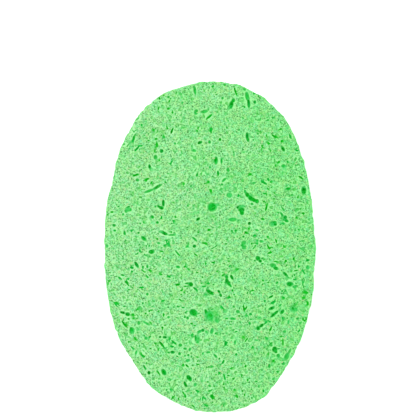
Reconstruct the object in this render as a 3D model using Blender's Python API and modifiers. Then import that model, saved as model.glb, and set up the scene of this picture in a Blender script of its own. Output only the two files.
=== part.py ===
"""Cellulose bath sponge: one die-cut foam block with its largest pores, and the
reinforcing plant fibres that span them.

Metres, +Z up. The block lies flat on its cut face. The origin is the middle of
the bottom of its box, +Y runs along its length to the blunt end, +X to its
right as seen from above.
"""
import math
import random

import bmesh
import bpy
from mathutils import Matrix, Vector, noise

# ---------------------------------------------------------------- dimensions
MM = 0.001

LENGTH = 141.0 * MM              # overall, along Y
WIDTH = 89.8 * MM                # overall, along X
THICKNESS = 36.0 * MM            # height of the slab that the block is cut from
# the outline's curve, before it is brought to LENGTH by WIDTH
HALF_WIDTH = 43.1 * MM           # half width at the widest line
WIDEST_Y = -4.3 * MM             # that line lies a little towards the narrow end
BLUNT_REACH = 70.3 * MM          # widest line to the blunt end
NARROW_REACH = 63.3 * MM         # widest line to the narrow end
BLUNT_POWER = 2.36               # squareness of the blunt half's curve
NARROW_POWER = 2.06              # the narrow half is nearly an ellipse
TIP_LEAN = 4.5 * MM              # the narrow tip leans to +X
TIP_LEAN_START = 42.7 * MM       # distance below the widest line where it starts
TIP_LEAN_SPAN = 27.8 * MM
OUTLINE_POINTS = 108
EDGE_ROUND = 0.9 * MM            # rounding of the two cut edges
EDGE_SEGMENTS = 2

# the blade wandered a little: direction from the middle in degrees, how far the
# edge stands out there in mm, and half the width of the bump in degrees
EDGE_WAVES = (
    (15, -0.45, 10), (35, -0.30, 12), (57, 0.65, 5), (66, -0.10, 9),
    (100, -0.70, 7), (147, -0.75, 6), (166, 0.20, 9), (202, -0.20, 10),
    (236, -0.90, 6), (249, 0.15, 6), (273, -0.45, 6), (291, 0.50, 5),
    (300, -0.15, 6), (331, 0.25, 5), (347, -0.30, 5),
)

# pores are placed on a survey grid laid over the face: x to the right and y
# towards the narrow end, in cells of this size, the middle at (210, 247)
CELL = 0.4273 * MM
GRID_MIDDLE = (210.0, 247.0)

# the largest pores of the top face: x, y, length, width (cells), direction of
# the length (degrees from +X towards +Y), depth (mm)
TOP_PORES = (
    (211.0, 315.0, 17.0, 12.5, -50, 4.6), (193.6, 313.2, 7.8, 6.2, -12, 3.6),
    (212.5, 207.0, 9.5, 8.5, 20, 3.8), (241.0, 209.8, 9.0, 7.6, 75, 3.6),
    (247.0, 193.5, 8.0, 4.2, -50, 2.6), (254.0, 199.6, 9.5, 4.4, -32, 2.8),
    (244.0, 244.7, 9.2, 5.2, 90, 3.4), (228.0, 281.4, 10.0, 4.0, -62, 2.8),
    (210.4, 293.0, 8.8, 5.0, -36, 3.2), (220.0, 293.8, 6.2, 3.0, -60, 2.2),
    (189.4, 284.0, 7.4, 4.2, -16, 2.8), (151.3, 252.0, 6.2, 4.2, 8, 2.6),
    (259.0, 258.9, 5.4, 5.0, -30, 2.6), (290.6, 284.0, 5.8, 4.4, -14, 2.6),
    (275.3, 268.3, 9.0, 4.2, -30, 2.4), (285.2, 274.2, 6.4, 2.9, -34, 1.8),
    (128.3, 210.2, 6.4, 6.0, 0, 2.4), (275.0, 349.3, 6.8, 5.8, -25, 3.2),
    (289.0, 355.4, 10.0, 5.0, 60, 3.0), (163.9, 372.0, 6.4, 4.4, -64, 2.8),
    (189.2, 378.6, 6.8, 4.2, -64, 2.8), (185.6, 384.7, 5.2, 3.4, -58, 2.2),
    (197.8, 339.4, 7.0, 5.0, 84, 2.4), (131.8, 330.6, 6.2, 5.0, 88, 2.4),
    (126.8, 314.0, 6.4, 3.4, -14, 2.0), (274.0, 314.3, 9.6, 3.2, 42, 2.4),
    (294.9, 309.2, 7.0, 5.4, 34, 2.4), (258.6, 327.6, 5.0, 4.0, 70, 2.4),
    (304.0, 190.6, 7.4, 4.2, 86, 2.6), (151.2, 189.8, 9.0, 2.9, 26, 1.8),
    (216.0, 161.0, 7.0, 3.6, 88, 2.4), (247.5, 137.2, 7.8, 3.0, 84, 2.0),
    (247.8, 97.0, 13.0, 3.0, -80, 2.0), (149.6, 166.6, 5.2, 3.0, 84, 2.0),
    (204.6, 111.6, 8.0, 3.6, 12, 2.0), (273.6, 224.0, 6.2, 5.0, 24, 2.2),
    (286.2, 218.6, 5.2, 4.4, 60, 2.2), (162.6, 205.6, 6.4, 3.4, -70, 2.2),
    (164.8, 232.8, 6.0, 3.0, -24, 2.0), (143.6, 238.2, 5.6, 3.6, -38, 2.0),
    (136.8, 265.0, 5.6, 3.2, -58, 2.2), (271.8, 308.4, 5.8, 3.0, 28, 2.0),
    (164.8, 337.4, 4.8, 3.0, -10, 1.8), (172.8, 352.0, 4.8, 3.2, -26, 1.8),
    (161.5, 151.2, 3.8, 3.6, 0, 1.8), (307.6, 267.4, 4.2, 4.0, 0, 1.8),
    (283.8, 166.2, 4.4, 3.6, 10, 1.8), (245.2, 308.0, 5.0, 3.0, 86, 1.8),
)

BOTTOM_PORES = 20                # the other cut face is just as open
SIDE_PORES = 26                  # and so is the band round the edge
REST_POINT_CLEAR = 9.0 * MM      # solid foam round the middle of the bottom
PORE_ROUNDNESS = 0.16            # how uneven a pore's wall is
PORE_SEED = 41
PORE_SIDES, PORE_RINGS = 8, 4      # facets of a pore
WIDE_PORE = 3.0 * MM             # wider ones have more: 12 and 6

FIBRE_RADIUS = 0.20 * MM         # a bundle of plant fibre
FIBRE_GAP = 0.30 * MM            # clearance of the socket round its ends
FIBRE_HOLD = 1.8 * MM            # length of each end that is held in the foam
FIBRE_DEPTH = 1.35 * MM          # below the cut face
FIBRE_POINTS = 6

FOAM_COLOUR = (0.24, 0.74, 0.25, 1.0)
FIBRE_COLOUR = (0.62, 0.68, 0.36, 1.0)


# ------------------------------------------------------------------- helpers
def material(name, colour, roughness, metallic=0.0):
    mat = bpy.data.materials.new(name)
    mat.use_nodes = True
    shader = mat.node_tree.nodes["Principled BSDF"]
    shader.inputs["Base Color"].default_value = colour
    shader.inputs["Roughness"].default_value = roughness
    shader.inputs["Metallic"].default_value = metallic
    mat.diffuse_color = colour
    return mat


def outline_point(turn):
    """Point of the cut outline, in metres, at a parameter in radians."""
    c, s = math.cos(turn), math.sin(turn)
    power = BLUNT_POWER if s >= 0 else NARROW_POWER
    reach = BLUNT_REACH if s >= 0 else NARROW_REACH
    x = HALF_WIDTH * math.copysign(abs(c) ** (2 / power), c)
    y = reach * math.copysign(abs(s) ** (2 / power), s)
    lean = max(0.0, (-y - TIP_LEAN_START) / TIP_LEAN_SPAN)
    x += TIP_LEAN * lean ** 1.6
    y += WIDEST_Y
    direction = math.degrees(math.atan2(y, x))
    out = 0.0
    for centre, height, half in EDGE_WAVES:
        away = (direction - centre + 180.0) % 360.0 - 180.0
        out += height * MM * math.exp(-(away / half) ** 2)
    r = math.hypot(x, y)
    return Vector((x * (1 + out / r), y * (1 + out / r)))


def outline():
    """The closed outline, evenly spaced, centred, and LENGTH by WIDTH."""
    fine = [outline_point(2 * math.pi * i / 2400) for i in range(2400)]
    lengths = [0.0]
    for a, b in zip(fine, fine[1:] + fine[:1]):
        lengths.append(lengths[-1] + (b - a).length)
    step, points, k = lengths[-1] / OUTLINE_POINTS, [], 0
    for i in range(OUTLINE_POINTS):
        want = i * step
        while lengths[k + 1] < want:
            k += 1
        part = (want - lengths[k]) / (lengths[k + 1] - lengths[k])
        points.append(fine[k].lerp(fine[(k + 1) % len(fine)], part))
    low = Vector((min(p.x for p in points), min(p.y for p in points)))
    high = Vector((max(p.x for p in points), max(p.y for p in points)))
    middle, box = (low + high) / 2, high - low
    return [Vector(((p.x - middle.x) * WIDTH / box.x,
                    (p.y - middle.y) * LENGTH / box.y)) for p in points]


def to_mesh_object(curve_object, name, collection, mat=None):
    """Replace a curve object by a mesh of the same shape, with welded caps."""
    bpy.context.view_layer.update()
    graph = bpy.context.evaluated_depsgraph_get()
    mesh = bpy.data.meshes.new_from_object(curve_object.evaluated_get(graph))
    place = curve_object.matrix_world.copy()
    old = curve_object.data
    bpy.data.objects.remove(curve_object)
    bpy.data.curves.remove(old)
    bm = bmesh.new()
    bm.from_mesh(mesh)
    bmesh.ops.remove_doubles(bm, verts=bm.verts, dist=0.00001)
    bmesh.ops.recalc_face_normals(bm, faces=bm.faces)
    bm.to_mesh(mesh)
    bm.free()
    mesh.name = name
    obj = bpy.data.objects.new(name, mesh)
    obj.matrix_world = place
    collection.objects.link(obj)
    mesh.materials.clear()
    if mat:
        mesh.materials.append(mat)
    return obj


def tube(name, points, radius, collection, mat=None):
    curve = bpy.data.curves.new(name, "CURVE")
    curve.dimensions = "3D"
    curve.resolution_u = 1
    curve.render_resolution_u = 0
    curve.bevel_depth = radius
    curve.bevel_resolution = 2
    curve.use_fill_caps = True
    spline = curve.splines.new("POLY")
    spline.points.add(len(points) - 1)
    for point, place in zip(spline.points, points):
        point.co = (*place, 1.0)
    obj = bpy.data.objects.new(name, curve)
    collection.objects.link(obj)
    return to_mesh_object(obj, name, collection, mat)


def make_cutter(obj):
    obj.hide_render = True
    obj.display_type = "WIRE"


def pore_cutter(name, place, along, out, length, width, depth, collection):
    """An uneven round hollow whose mouth is length by width on the surface.

    along is the direction of the length and out the surface's normal. The
    hollow's middle lies a fifth of its depth under the surface.
    """
    out = out.normalized()
    along = (along - out * along.dot(out)).normalized()
    across = out.cross(along)
    bm = bmesh.new()
    wide = width >= WIDE_PORE
    bmesh.ops.create_uvsphere(bm, u_segments=12 if wide else PORE_SIDES,
                              v_segments=6 if wide else PORE_RINGS, radius=1.0)
    shift = Vector((place.x * 900, place.y * 900, place.z * 900))
    for vert in bm.verts:
        vert.co *= 1.0 + PORE_ROUNDNESS * noise.noise(vert.co * 1.3 + shift)
    sink = 0.2 * depth
    half_depth = depth - sink
    mouth = math.sqrt(1 - (sink / half_depth) ** 2)
    turn = Matrix((along, across, out)).transposed().to_4x4()
    size = Matrix.Diagonal((length / 2 / mouth, width / 2 / mouth, half_depth, 1))
    bmesh.ops.transform(
        bm, verts=bm.verts,
        matrix=Matrix.Translation(place - out * sink) @ turn @ size)
    mesh = bpy.data.meshes.new(name)
    bm.to_mesh(mesh)
    bm.free()
    obj = bpy.data.objects.new(name, mesh)
    collection.objects.link(obj)
    make_cutter(obj)
    return obj


def grid_place(x, y, z):
    return Vector(((x - GRID_MIDDLE[0]) * CELL, (GRID_MIDDLE[1] - y) * CELL, z))


def inside(point, points, margin):
    """Whether a point of the face lies at least margin inside the outline."""
    hit, n = False, len(points)
    for i in range(n):
        a, b = points[i], points[(i + 1) % n]
        if (a.y > point.y) != (b.y > point.y):
            if point.x < a.x + (point.y - a.y) / (b.y - a.y) * (b.x - a.x):
                hit = not hit
        edge = b - a
        t = max(0.0, min(1.0, (point - a).dot(edge) / edge.length_squared))
        if (a + edge * t - point).length < margin:
            return False
    return hit


def strand(name, start, end, bow, dip, collection, mat, cutters):
    """A fibre from one wall of a pore to the other, and the socket it needs.

    It bows sideways by bow, dips by dip, and each end runs on into the foam.
    """
    run = end - start
    ahead = run.normalized()
    up = Vector((0, 0, 1)) if abs(ahead.z) < 0.9 else Vector((1, 0, 0))
    side = ahead.cross(up).normalized()
    down = ahead.cross(side).normalized()
    if down.z > 0:
        down = -down
    first, last = start - ahead * FIBRE_HOLD, end + ahead * FIBRE_HOLD
    points = []
    for i in range(FIBRE_POINTS):
        t = i / (FIBRE_POINTS - 1)
        arch = math.sin(math.pi * t)
        points.append(first.lerp(last, t) + side * bow * arch
                      + down * dip * arch ** 2)
    fibre = tube(name, points, FIBRE_RADIUS, collection, mat)
    fibre.data.shade_smooth()
    fibre.data.set_sharp_from_angle(angle=math.radians(50))
    more = FIBRE_GAP * 1.05
    ends = [points[0] - (points[1] - points[0]).normalized() * more,
            points[-1] + (points[-1] - points[-2]).normalized() * more]
    socket = tube("socket_" + name, [ends[0], *points[1:-1], ends[1]],
                  FIBRE_RADIUS + more * 1.08, cutters)
    make_cutter(socket)
    return fibre


# --------------------------------------------------------------------- build
def build():
    for obj in list(bpy.data.objects):
        bpy.data.objects.remove(obj)

    sponge = bpy.data.collections.new("cellulose_bath_sponge")
    cutters = bpy.data.collections.new("cutters")
    bpy.context.scene.collection.children.link(sponge)
    bpy.context.scene.collection.children.link(cutters)
    foam_mat = material("foam", FOAM_COLOUR, 0.95)
    fibre_mat = material("plant_fibre", FIBRE_COLOUR, 0.85)

    # the block: the outline, extruded to the slab's thickness
    points = outline()
    curve = bpy.data.curves.new("foam_outline", "CURVE")
    curve.dimensions = "2D"
    curve.fill_mode = "BOTH"
    curve.extrude = THICKNESS / 2
    curve.resolution_u = 1
    curve.render_resolution_u = 0
    spline = curve.splines.new("POLY")
    spline.points.add(len(points) - 1)
    for point, place in zip(spline.points, points):
        point.co = (place.x, place.y, 0.0, 1.0)
    spline.use_cyclic_u = True
    flat = bpy.data.objects.new("foam_outline", curve)
    flat.location.z = THICKNESS / 2
    sponge.objects.link(flat)
    foam = to_mesh_object(flat, "foam_body", sponge, foam_mat)
    round_edge = foam.modifiers.new("cut_edges", "BEVEL")
    round_edge.width = EDGE_ROUND
    round_edge.segments = EDGE_SEGMENTS
    round_edge.limit_method = "ANGLE"
    round_edge.angle_limit = math.radians(60)

    # pores of the top face
    up = Vector((0, 0, 1))
    for i, (x, y, length, width, turn, depth) in enumerate(TOP_PORES):
        a = math.radians(turn)
        pore_cutter(f"top_pore_{i + 1:02d}", grid_place(x, y, THICKNESS),
                    Vector((math.cos(a), math.sin(a), 0)), up,
                    length * CELL, width * CELL, depth * MM, cutters)

    # pores of the bottom face, scattered with room between them
    rng = random.Random(PORE_SEED)
    placed, tries = [], 0
    while len(placed) < BOTTOM_PORES and tries < 20000:
        tries += 1
        spot = Vector((rng.uniform(-1, 1) * HALF_WIDTH,
                       rng.uniform(-1, 1) * (BLUNT_REACH + NARROW_REACH) / 2))
        length = rng.uniform(1.7, 3.6) * MM * (1.5 if rng.random() < 0.12 else 1)
        if spot.length < REST_POINT_CLEAR or not inside(spot, points, 3.2 * MM):
            continue
        if any((spot - other).length < (length + size) / 2 + 1.6 * MM
               for other, size in placed):
            continue
        a = rng.uniform(0, math.pi)
        pore_cutter(f"bottom_pore_{len(placed) + 1:02d}",
                    Vector((spot.x, spot.y, 0.0)),
                    Vector((math.cos(a), math.sin(a), 0)), -up,
                    length, length * rng.uniform(0.5, 0.9),
                    length * rng.uniform(0.6, 0.9), cutters)
        placed.append((spot, length))

    # pores of the side band, a golden-ratio walk round the edge
    n = len(points)
    golden = (math.sqrt(5) - 1) / 2
    for i in range(SIDE_PORES):
        k = int((i * golden % 1.0) * n)
        a, b = points[k], points[(k + 1) % n]
        edge = (b - a).normalized()
        out = Vector((edge.y, -edge.x, 0))
        height = THICKNESS * (0.16 + 0.68 * (i + 0.5) / SIDE_PORES)
        middle = (a + b) / 2
        length = rng.uniform(1.8, 3.8) * MM
        tilt = rng.uniform(-1.2, 1.2)
        pore_cutter(f"side_pore_{i + 1:02d}", Vector((middle.x, middle.y, height)),
                    Vector((edge.x, edge.y, 0)) * math.cos(tilt)
                    + up * math.sin(tilt), out,
                    length, length * rng.uniform(0.5, 0.85),
                    length * rng.uniform(0.6, 0.9), cutters)

    # fibre bundles across the larger pores: both ends on the grid, bow and dip
    # in mm
    spans = (
        ("fibre_strand_01", (204.6, 308.0), (217.6, 320.6), 0.5, 0.5),
        ("fibre_strand_02", (205.6, 318.6), (215.4, 309.4), -0.4, 1.3),
        ("fibre_strand_03", (190.6, 315.0), (196.8, 311.2), 0.2, 0.4),
        ("fibre_strand_04", (208.8, 209.6), (216.2, 204.6), 0.3, 0.5),
        ("fibre_strand_05", (238.4, 207.0), (244.0, 212.6), -0.3, 0.5),
        ("fibre_strand_06", (241.8, 246.8), (246.2, 242.8), 0.2, 0.4),
        ("fibre_strand_07", (207.8, 294.2), (212.8, 291.6), -0.2, 0.3),
        ("fibre_strand_08", (272.6, 351.2), (277.4, 347.6), 0.2, 0.3),
        ("fibre_strand_09", (226.0, 282.8), (230.0, 280.2), 0.2, 0.3),
    )
    for name, start, end, bow, dip in spans:
        strand(name, grid_place(*start, THICKNESS - FIBRE_DEPTH),
               grid_place(*end, THICKNESS - FIBRE_DEPTH),
               bow * MM, dip * MM, sponge, fibre_mat, cutters)

    # the same across the three widest pores of the bottom face
    for i, (spot, size) in enumerate(sorted(placed, key=lambda p: -p[1])[:3]):
        a = 0.7 + 1.1 * i
        arm = Vector((math.cos(a), math.sin(a), 0)) * size * 0.42
        middle = Vector((spot.x, spot.y, FIBRE_DEPTH))
        strand(f"fibre_strand_{10 + i}", middle - arm, middle + arm,
               0.2 * MM, -0.3 * MM, sponge, fibre_mat, cutters)

    cut = foam.modifiers.new("pores", "BOOLEAN")
    cut.operation = "DIFFERENCE"
    cut.solver = "EXACT"
    cut.operand_type = "COLLECTION"
    cut.collection = cutters
    foam.data.shade_smooth()
    foam.data.set_sharp_from_angle(angle=math.radians(40))


build()
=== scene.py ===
"""Cellulose bath sponge: the visible foam block with all its pores, and the
plant fibres that lie in it, on a pale floor in soft light.

Lengths are millimetres until a mesh is made, which is in metres. The frame is
the CAD model's: +Z up, origin under the middle, +Y towards the blunt end.
"""
import math
import random
import bpy
import numpy as np
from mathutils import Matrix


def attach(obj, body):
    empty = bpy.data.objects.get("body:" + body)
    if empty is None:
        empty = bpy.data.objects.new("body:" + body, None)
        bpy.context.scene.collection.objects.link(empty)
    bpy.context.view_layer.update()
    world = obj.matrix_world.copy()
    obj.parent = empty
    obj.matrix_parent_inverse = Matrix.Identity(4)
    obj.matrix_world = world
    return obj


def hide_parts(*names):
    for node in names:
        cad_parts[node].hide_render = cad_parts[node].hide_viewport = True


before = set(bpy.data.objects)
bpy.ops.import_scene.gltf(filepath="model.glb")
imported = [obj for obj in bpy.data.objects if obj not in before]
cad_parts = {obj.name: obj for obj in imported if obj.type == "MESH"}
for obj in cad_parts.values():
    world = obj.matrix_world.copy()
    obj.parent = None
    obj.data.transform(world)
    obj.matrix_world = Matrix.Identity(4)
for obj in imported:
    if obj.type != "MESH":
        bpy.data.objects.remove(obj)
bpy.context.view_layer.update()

# ------------------------------------------------------- sizes, as in the CAD
LENGTH, WIDTH, THICKNESS = 141.0, 89.8, 36.0
HALF_WIDTH, WIDEST_Y = 43.1, -4.3
BLUNT_REACH, NARROW_REACH = 70.3, 63.3
BLUNT_POWER, NARROW_POWER = 2.36, 2.06
TIP_LEAN, TIP_LEAN_START, TIP_LEAN_SPAN = 4.5, 42.7, 27.8
EDGE_ROUND = 0.9
EDGE_WAVES = (
    (15, -0.45, 10), (35, -0.30, 12), (57, 0.65, 5), (66, -0.10, 9),
    (100, -0.70, 7), (147, -0.75, 6), (166, 0.20, 9), (202, -0.20, 10),
    (236, -0.90, 6), (249, 0.15, 6), (273, -0.45, 6), (291, 0.50, 5),
    (300, -0.15, 6), (331, 0.25, 5), (347, -0.30, 5),
)
OUTLINE_POINTS = 108

# the survey grid over the face: x to the right, y towards the narrow end
CELL = 0.4273
GRID_MIDDLE = (210.0, 247.0)

# spacing of the distance grid along x, y and z
STEPS = np.array(((0.25, 0.25, 0.30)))
STEP = float(STEPS.mean())
TRIANGLES = 480000

# ---------------------------------------------------------------- pore survey
# Deep, wide pores made of overlapping hollows: x, y, size along x, size along
# y, turn in degrees from +X towards +Y, depth in mm, and how much of a large
# pore's colour, its painted shade, it has, where that isn't all of it. Cells.
WIDE_PORES = (
    # the crater: a shallow dish, deeper along its left and foot
    (211.8, 315.2, 15.8, 15.6, 0, 0.75, 0.18), (209.6, 314.8, 11.0, 10.0, -30, 1.5, 0.7),
    (209.8, 315.4, 8.4, 4.4, -30, 2.0), (206.0, 311.8, 3.2, 6.0, 10, 2.2),
    (209.4, 319.4, 9.0, 3.2, -22, 1.4, 0.7), (212.4, 318.6, 2.6, 1.8, 0, 2.1),
    (216.8, 321.0, 5.8, 3.4, -34, 1.5, 0.8),
    (212.2, 309.3, 4.6, 1.4, 4, 1.6), (219.8, 316.8, 1.8, 2.0, 0, 1.6),
    (193.5, 312.9, 8.8, 6.9, -20, 3.0), (190.8, 312.6, 2.4, 3.4, 0, 2.2),
    (196.4, 316.4, 3.0, 1.8, -30, 1.0, 0.6),
    # a wide round one and a three-cornered one
    (212.2, 207.2, 9.6, 9.8, -20, 3.0), (213.4, 206.4, 5.0, 5.6, 20, 3.9),
    (209.2, 209.0, 3.4, 2.6, 10, 1.8),
    (240.8, 206.8, 9.4, 4.6, 0, 1.3, 0.7), (238.0, 207.6, 3.6, 3.2, -20, 2.0),
    (241.2, 209.6, 7.0, 5.0, 0, 3.0), (241.8, 212.6, 4.4, 5.6, 0, 2.8),
    # the bean
    (245.4, 192.0, 5.0, 2.8, -70, 1.5, 0.9), (247.6, 195.0, 6.0, 4.2, -56, 2.4),
    (250.6, 198.0, 6.8, 4.6, -44, 3.2), (253.8, 200.0, 6.4, 3.6, -34, 3.0),
    (257.0, 201.4, 4.0, 4.6, 0, 2.6), (251.4, 195.2, 6.4, 3.8, -45, 0.9, 0.5),
    (243.8, 243.0, 5.2, 4.6, 10, 1.6, 0.7), (244.2, 247.2, 5.0, 5.0, -12, 1.8, 0.75),
    (242.4, 245.4, 3.2, 3.6, 0, 1.8),
    # the zigzag
    (226.6, 276.8, 3.2, 4.6, 24, 2.2), (226.8, 280.6, 3.4, 3.8, 0, 2.3),
    (227.4, 282.5, 5.8, 3.0, -4, 2.5), (228.8, 284.2, 4.6, 3.2, -44, 2.5),
    (230.4, 286.0, 3.4, 2.4, -50, 2.0), (231.8, 277.2, 5.8, 3.0, -62, 2.2),
    (209.6, 292.0, 7.8, 3.8, -34, 2.8), (212.4, 293.6, 4.2, 4.0, -40, 2.0),
    (219.0, 291.8, 4.4, 2.8, -62, 2.2), (220.6, 295.2, 4.2, 2.8, -62, 2.1),
    (190.6, 284.4, 5.0, 4.4, -30, 2.7), (187.4, 283.4, 5.0, 2.2, 4, 1.8, 0.8),
    (151.6, 251.8, 6.2, 4.9, 4, 1.9, 0.95), (258.0, 258.3, 5.4, 4.6, -20, 2.4),
    (260.2, 261.0, 3.8, 3.4, 0, 2.2), (262.6, 258.4, 3.4, 1.8, 0, 1.4, 0.8),
    (255.0, 260.8, 3.0, 2.0, 0, 1.4, 0.8), (290.0, 284.1, 7.0, 4.8, -14, 2.8),
    (273.2, 265.6, 6.8, 4.6, -20, 1.6, 0.8), (276.0, 268.4, 5.4, 3.6, -20, 2.1, 0.95),
    (285.4, 274.4, 7.6, 3.0, -42, 1.9, 0.9), (128.0, 209.2, 6.8, 5.2, 0, 1.4, 0.7),
    (128.4, 206.8, 4.2, 1.6, 14, 2.0), (130.6, 209.8, 2.6, 2.8, 0, 1.9, 0.9),
    (126.0, 211.0, 3.6, 4.0, 0, 1.6, 0.8), (274.8, 349.4, 5.8, 5.8, 0, 2.4),
    (276.0, 352.0, 3.0, 2.8, 0, 1.9), (278.6, 348.8, 2.8, 1.6, 0, 1.4, 0.8),
    (271.6, 345.6, 3.0, 2.0, 40, 1.4, 0.8), (286.8, 356.6, 9.0, 4.4, 62, 1.8, 0.8),
    (289.8, 351.0, 6.0, 2.6, 66, 1.3, 0.6), (163.9, 372.2, 7.2, 4.4, -60, 2.8),
    (189.0, 378.0, 7.0, 4.4, -52, 3.0), (190.4, 379.4, 3.0, 4.2, 0, 2.4),
    (185.2, 384.2, 6.0, 3.0, -68, 2.3), (186.0, 386.0, 3.0, 2.4, 0, 2.2),
    (197.6, 339.0, 5.2, 8.4, 0, 1.3, 0.65),
    (195.6, 338.4, 2.1, 7.0, 6, 2.3), (197.6, 342.4, 3.4, 2.3, 10, 1.9, 0.9),
    (199.6, 331.6, 6.4, 3.0, 24, 1.8, 0.9), (203.0, 330.2, 3.4, 3.4, 0, 2.2),
    (131.9, 330.8, 5.6, 7.2, 0, 1.6, 0.8), (131.0, 329.4, 3.0, 5.0, 0, 2.1),
    (127.4, 314.2, 5.2, 3.8, -10, 2.2), (122.6, 312.6, 6.2, 2.8, -18, 2.0),
    (274.4, 314.1, 11.0, 3.0, 44, 2.2), (282.2, 311.9, 6.2, 3.6, 55, 1.9),
    (294.0, 308.8, 8.4, 8.8, 0, 1.1, 0.45), (293.0, 308.4, 3.4, 3.6, 20, 2.1, 0.95),
    (295.6, 309.6, 5.0, 4.6, 0, 1.7, 0.8), (258.2, 328.2, 4.2, 4.6, 0, 2.4),
    (261.4, 325.8, 6.4, 2.8, 40, 2.2), (303.9, 190.5, 5.2, 8.8, 0, 2.0, 0.95),
    (149.0, 190.9, 11.6, 2.7, 22, 1.8, 0.8), (157.2, 187.0, 11.8, 3.0, 31, 1.9, 0.85), (216.0, 160.6, 4.3, 8.8, 0, 2.4),
    (221.5, 161.0, 2.2, 6.4, 0, 1.8), (247.2, 135.8, 3.4, 7.4, 0, 2.5), (248.0, 139.4, 3.0, 5.4, 10, 1.9, 0.8),
    (247.0, 95.6, 3.8, 9.4, 8, 1.8, 0.9), (248.8, 103.2, 3.0, 10.0, 5, 2.4),
    (244.6, 89.0, 3.6, 4.0, 30, 1.5, 0.8), (149.5, 166.5, 2.9, 5.4, 0, 2.0),
    (204.5, 111.5, 8.2, 3.8, 10, 1.7, 0.85), (274.6, 222.6, 4.8, 3.8, 0, 2.0),
    (275.4, 224.4, 3.4, 3.4, 0, 2.0), (272.4, 223.8, 7.2, 6.0, 0, 1.2, 0.7),
    (285.2, 217.4, 3.8, 4.2, 30, 2.2), (286.4, 220.6, 4.6, 3.0, -30, 2.2),
    (282.0, 214.8, 6.4, 2.2, -56, 1.6), (283.8, 219.4, 2.6, 3.4, 0, 1.7, 0.8),
    (163.3, 203.2, 3.0, 7.6, 0, 2.4), (161.4, 207.8, 5.0, 3.8, -20, 2.6),
    (158.6, 206.4, 4.2, 2.6, -35, 2.0),
    (164.2, 233.2, 8.4, 3.4, -22, 2.0), (172.4, 235.0, 8.4, 2.0, 0, 1.2, 0.8),
    (143.7, 238.5, 7.2, 3.8, -38, 2.2), (136.6, 264.8, 7.4, 3.2, -56, 2.2),
    (271.8, 308.4, 7.2, 3.2, 24, 2.0), (165.0, 337.3, 4.8, 3.0, 0, 1.9),
    (160.2, 336.9, 2.8, 2.4, 0, 1.6), (172.6, 352.3, 4.8, 3.2, 0, 2.0),
    (161.5, 151.0, 4.0, 3.9, 0, 2.0), (307.8, 267.4, 4.4, 4.6, 0, 1.4, 0.8),
    (283.6, 166.0, 4.6, 4.0, 0, 1.8, 0.9), (229.4, 195.0, 6.0, 5.4, 0, 1.6, 0.8),
    (231.2, 105.0, 4.2, 8.8, -8, 2.1), (233.4, 100.2, 3.4, 4.4, 0, 1.9),
)

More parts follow.
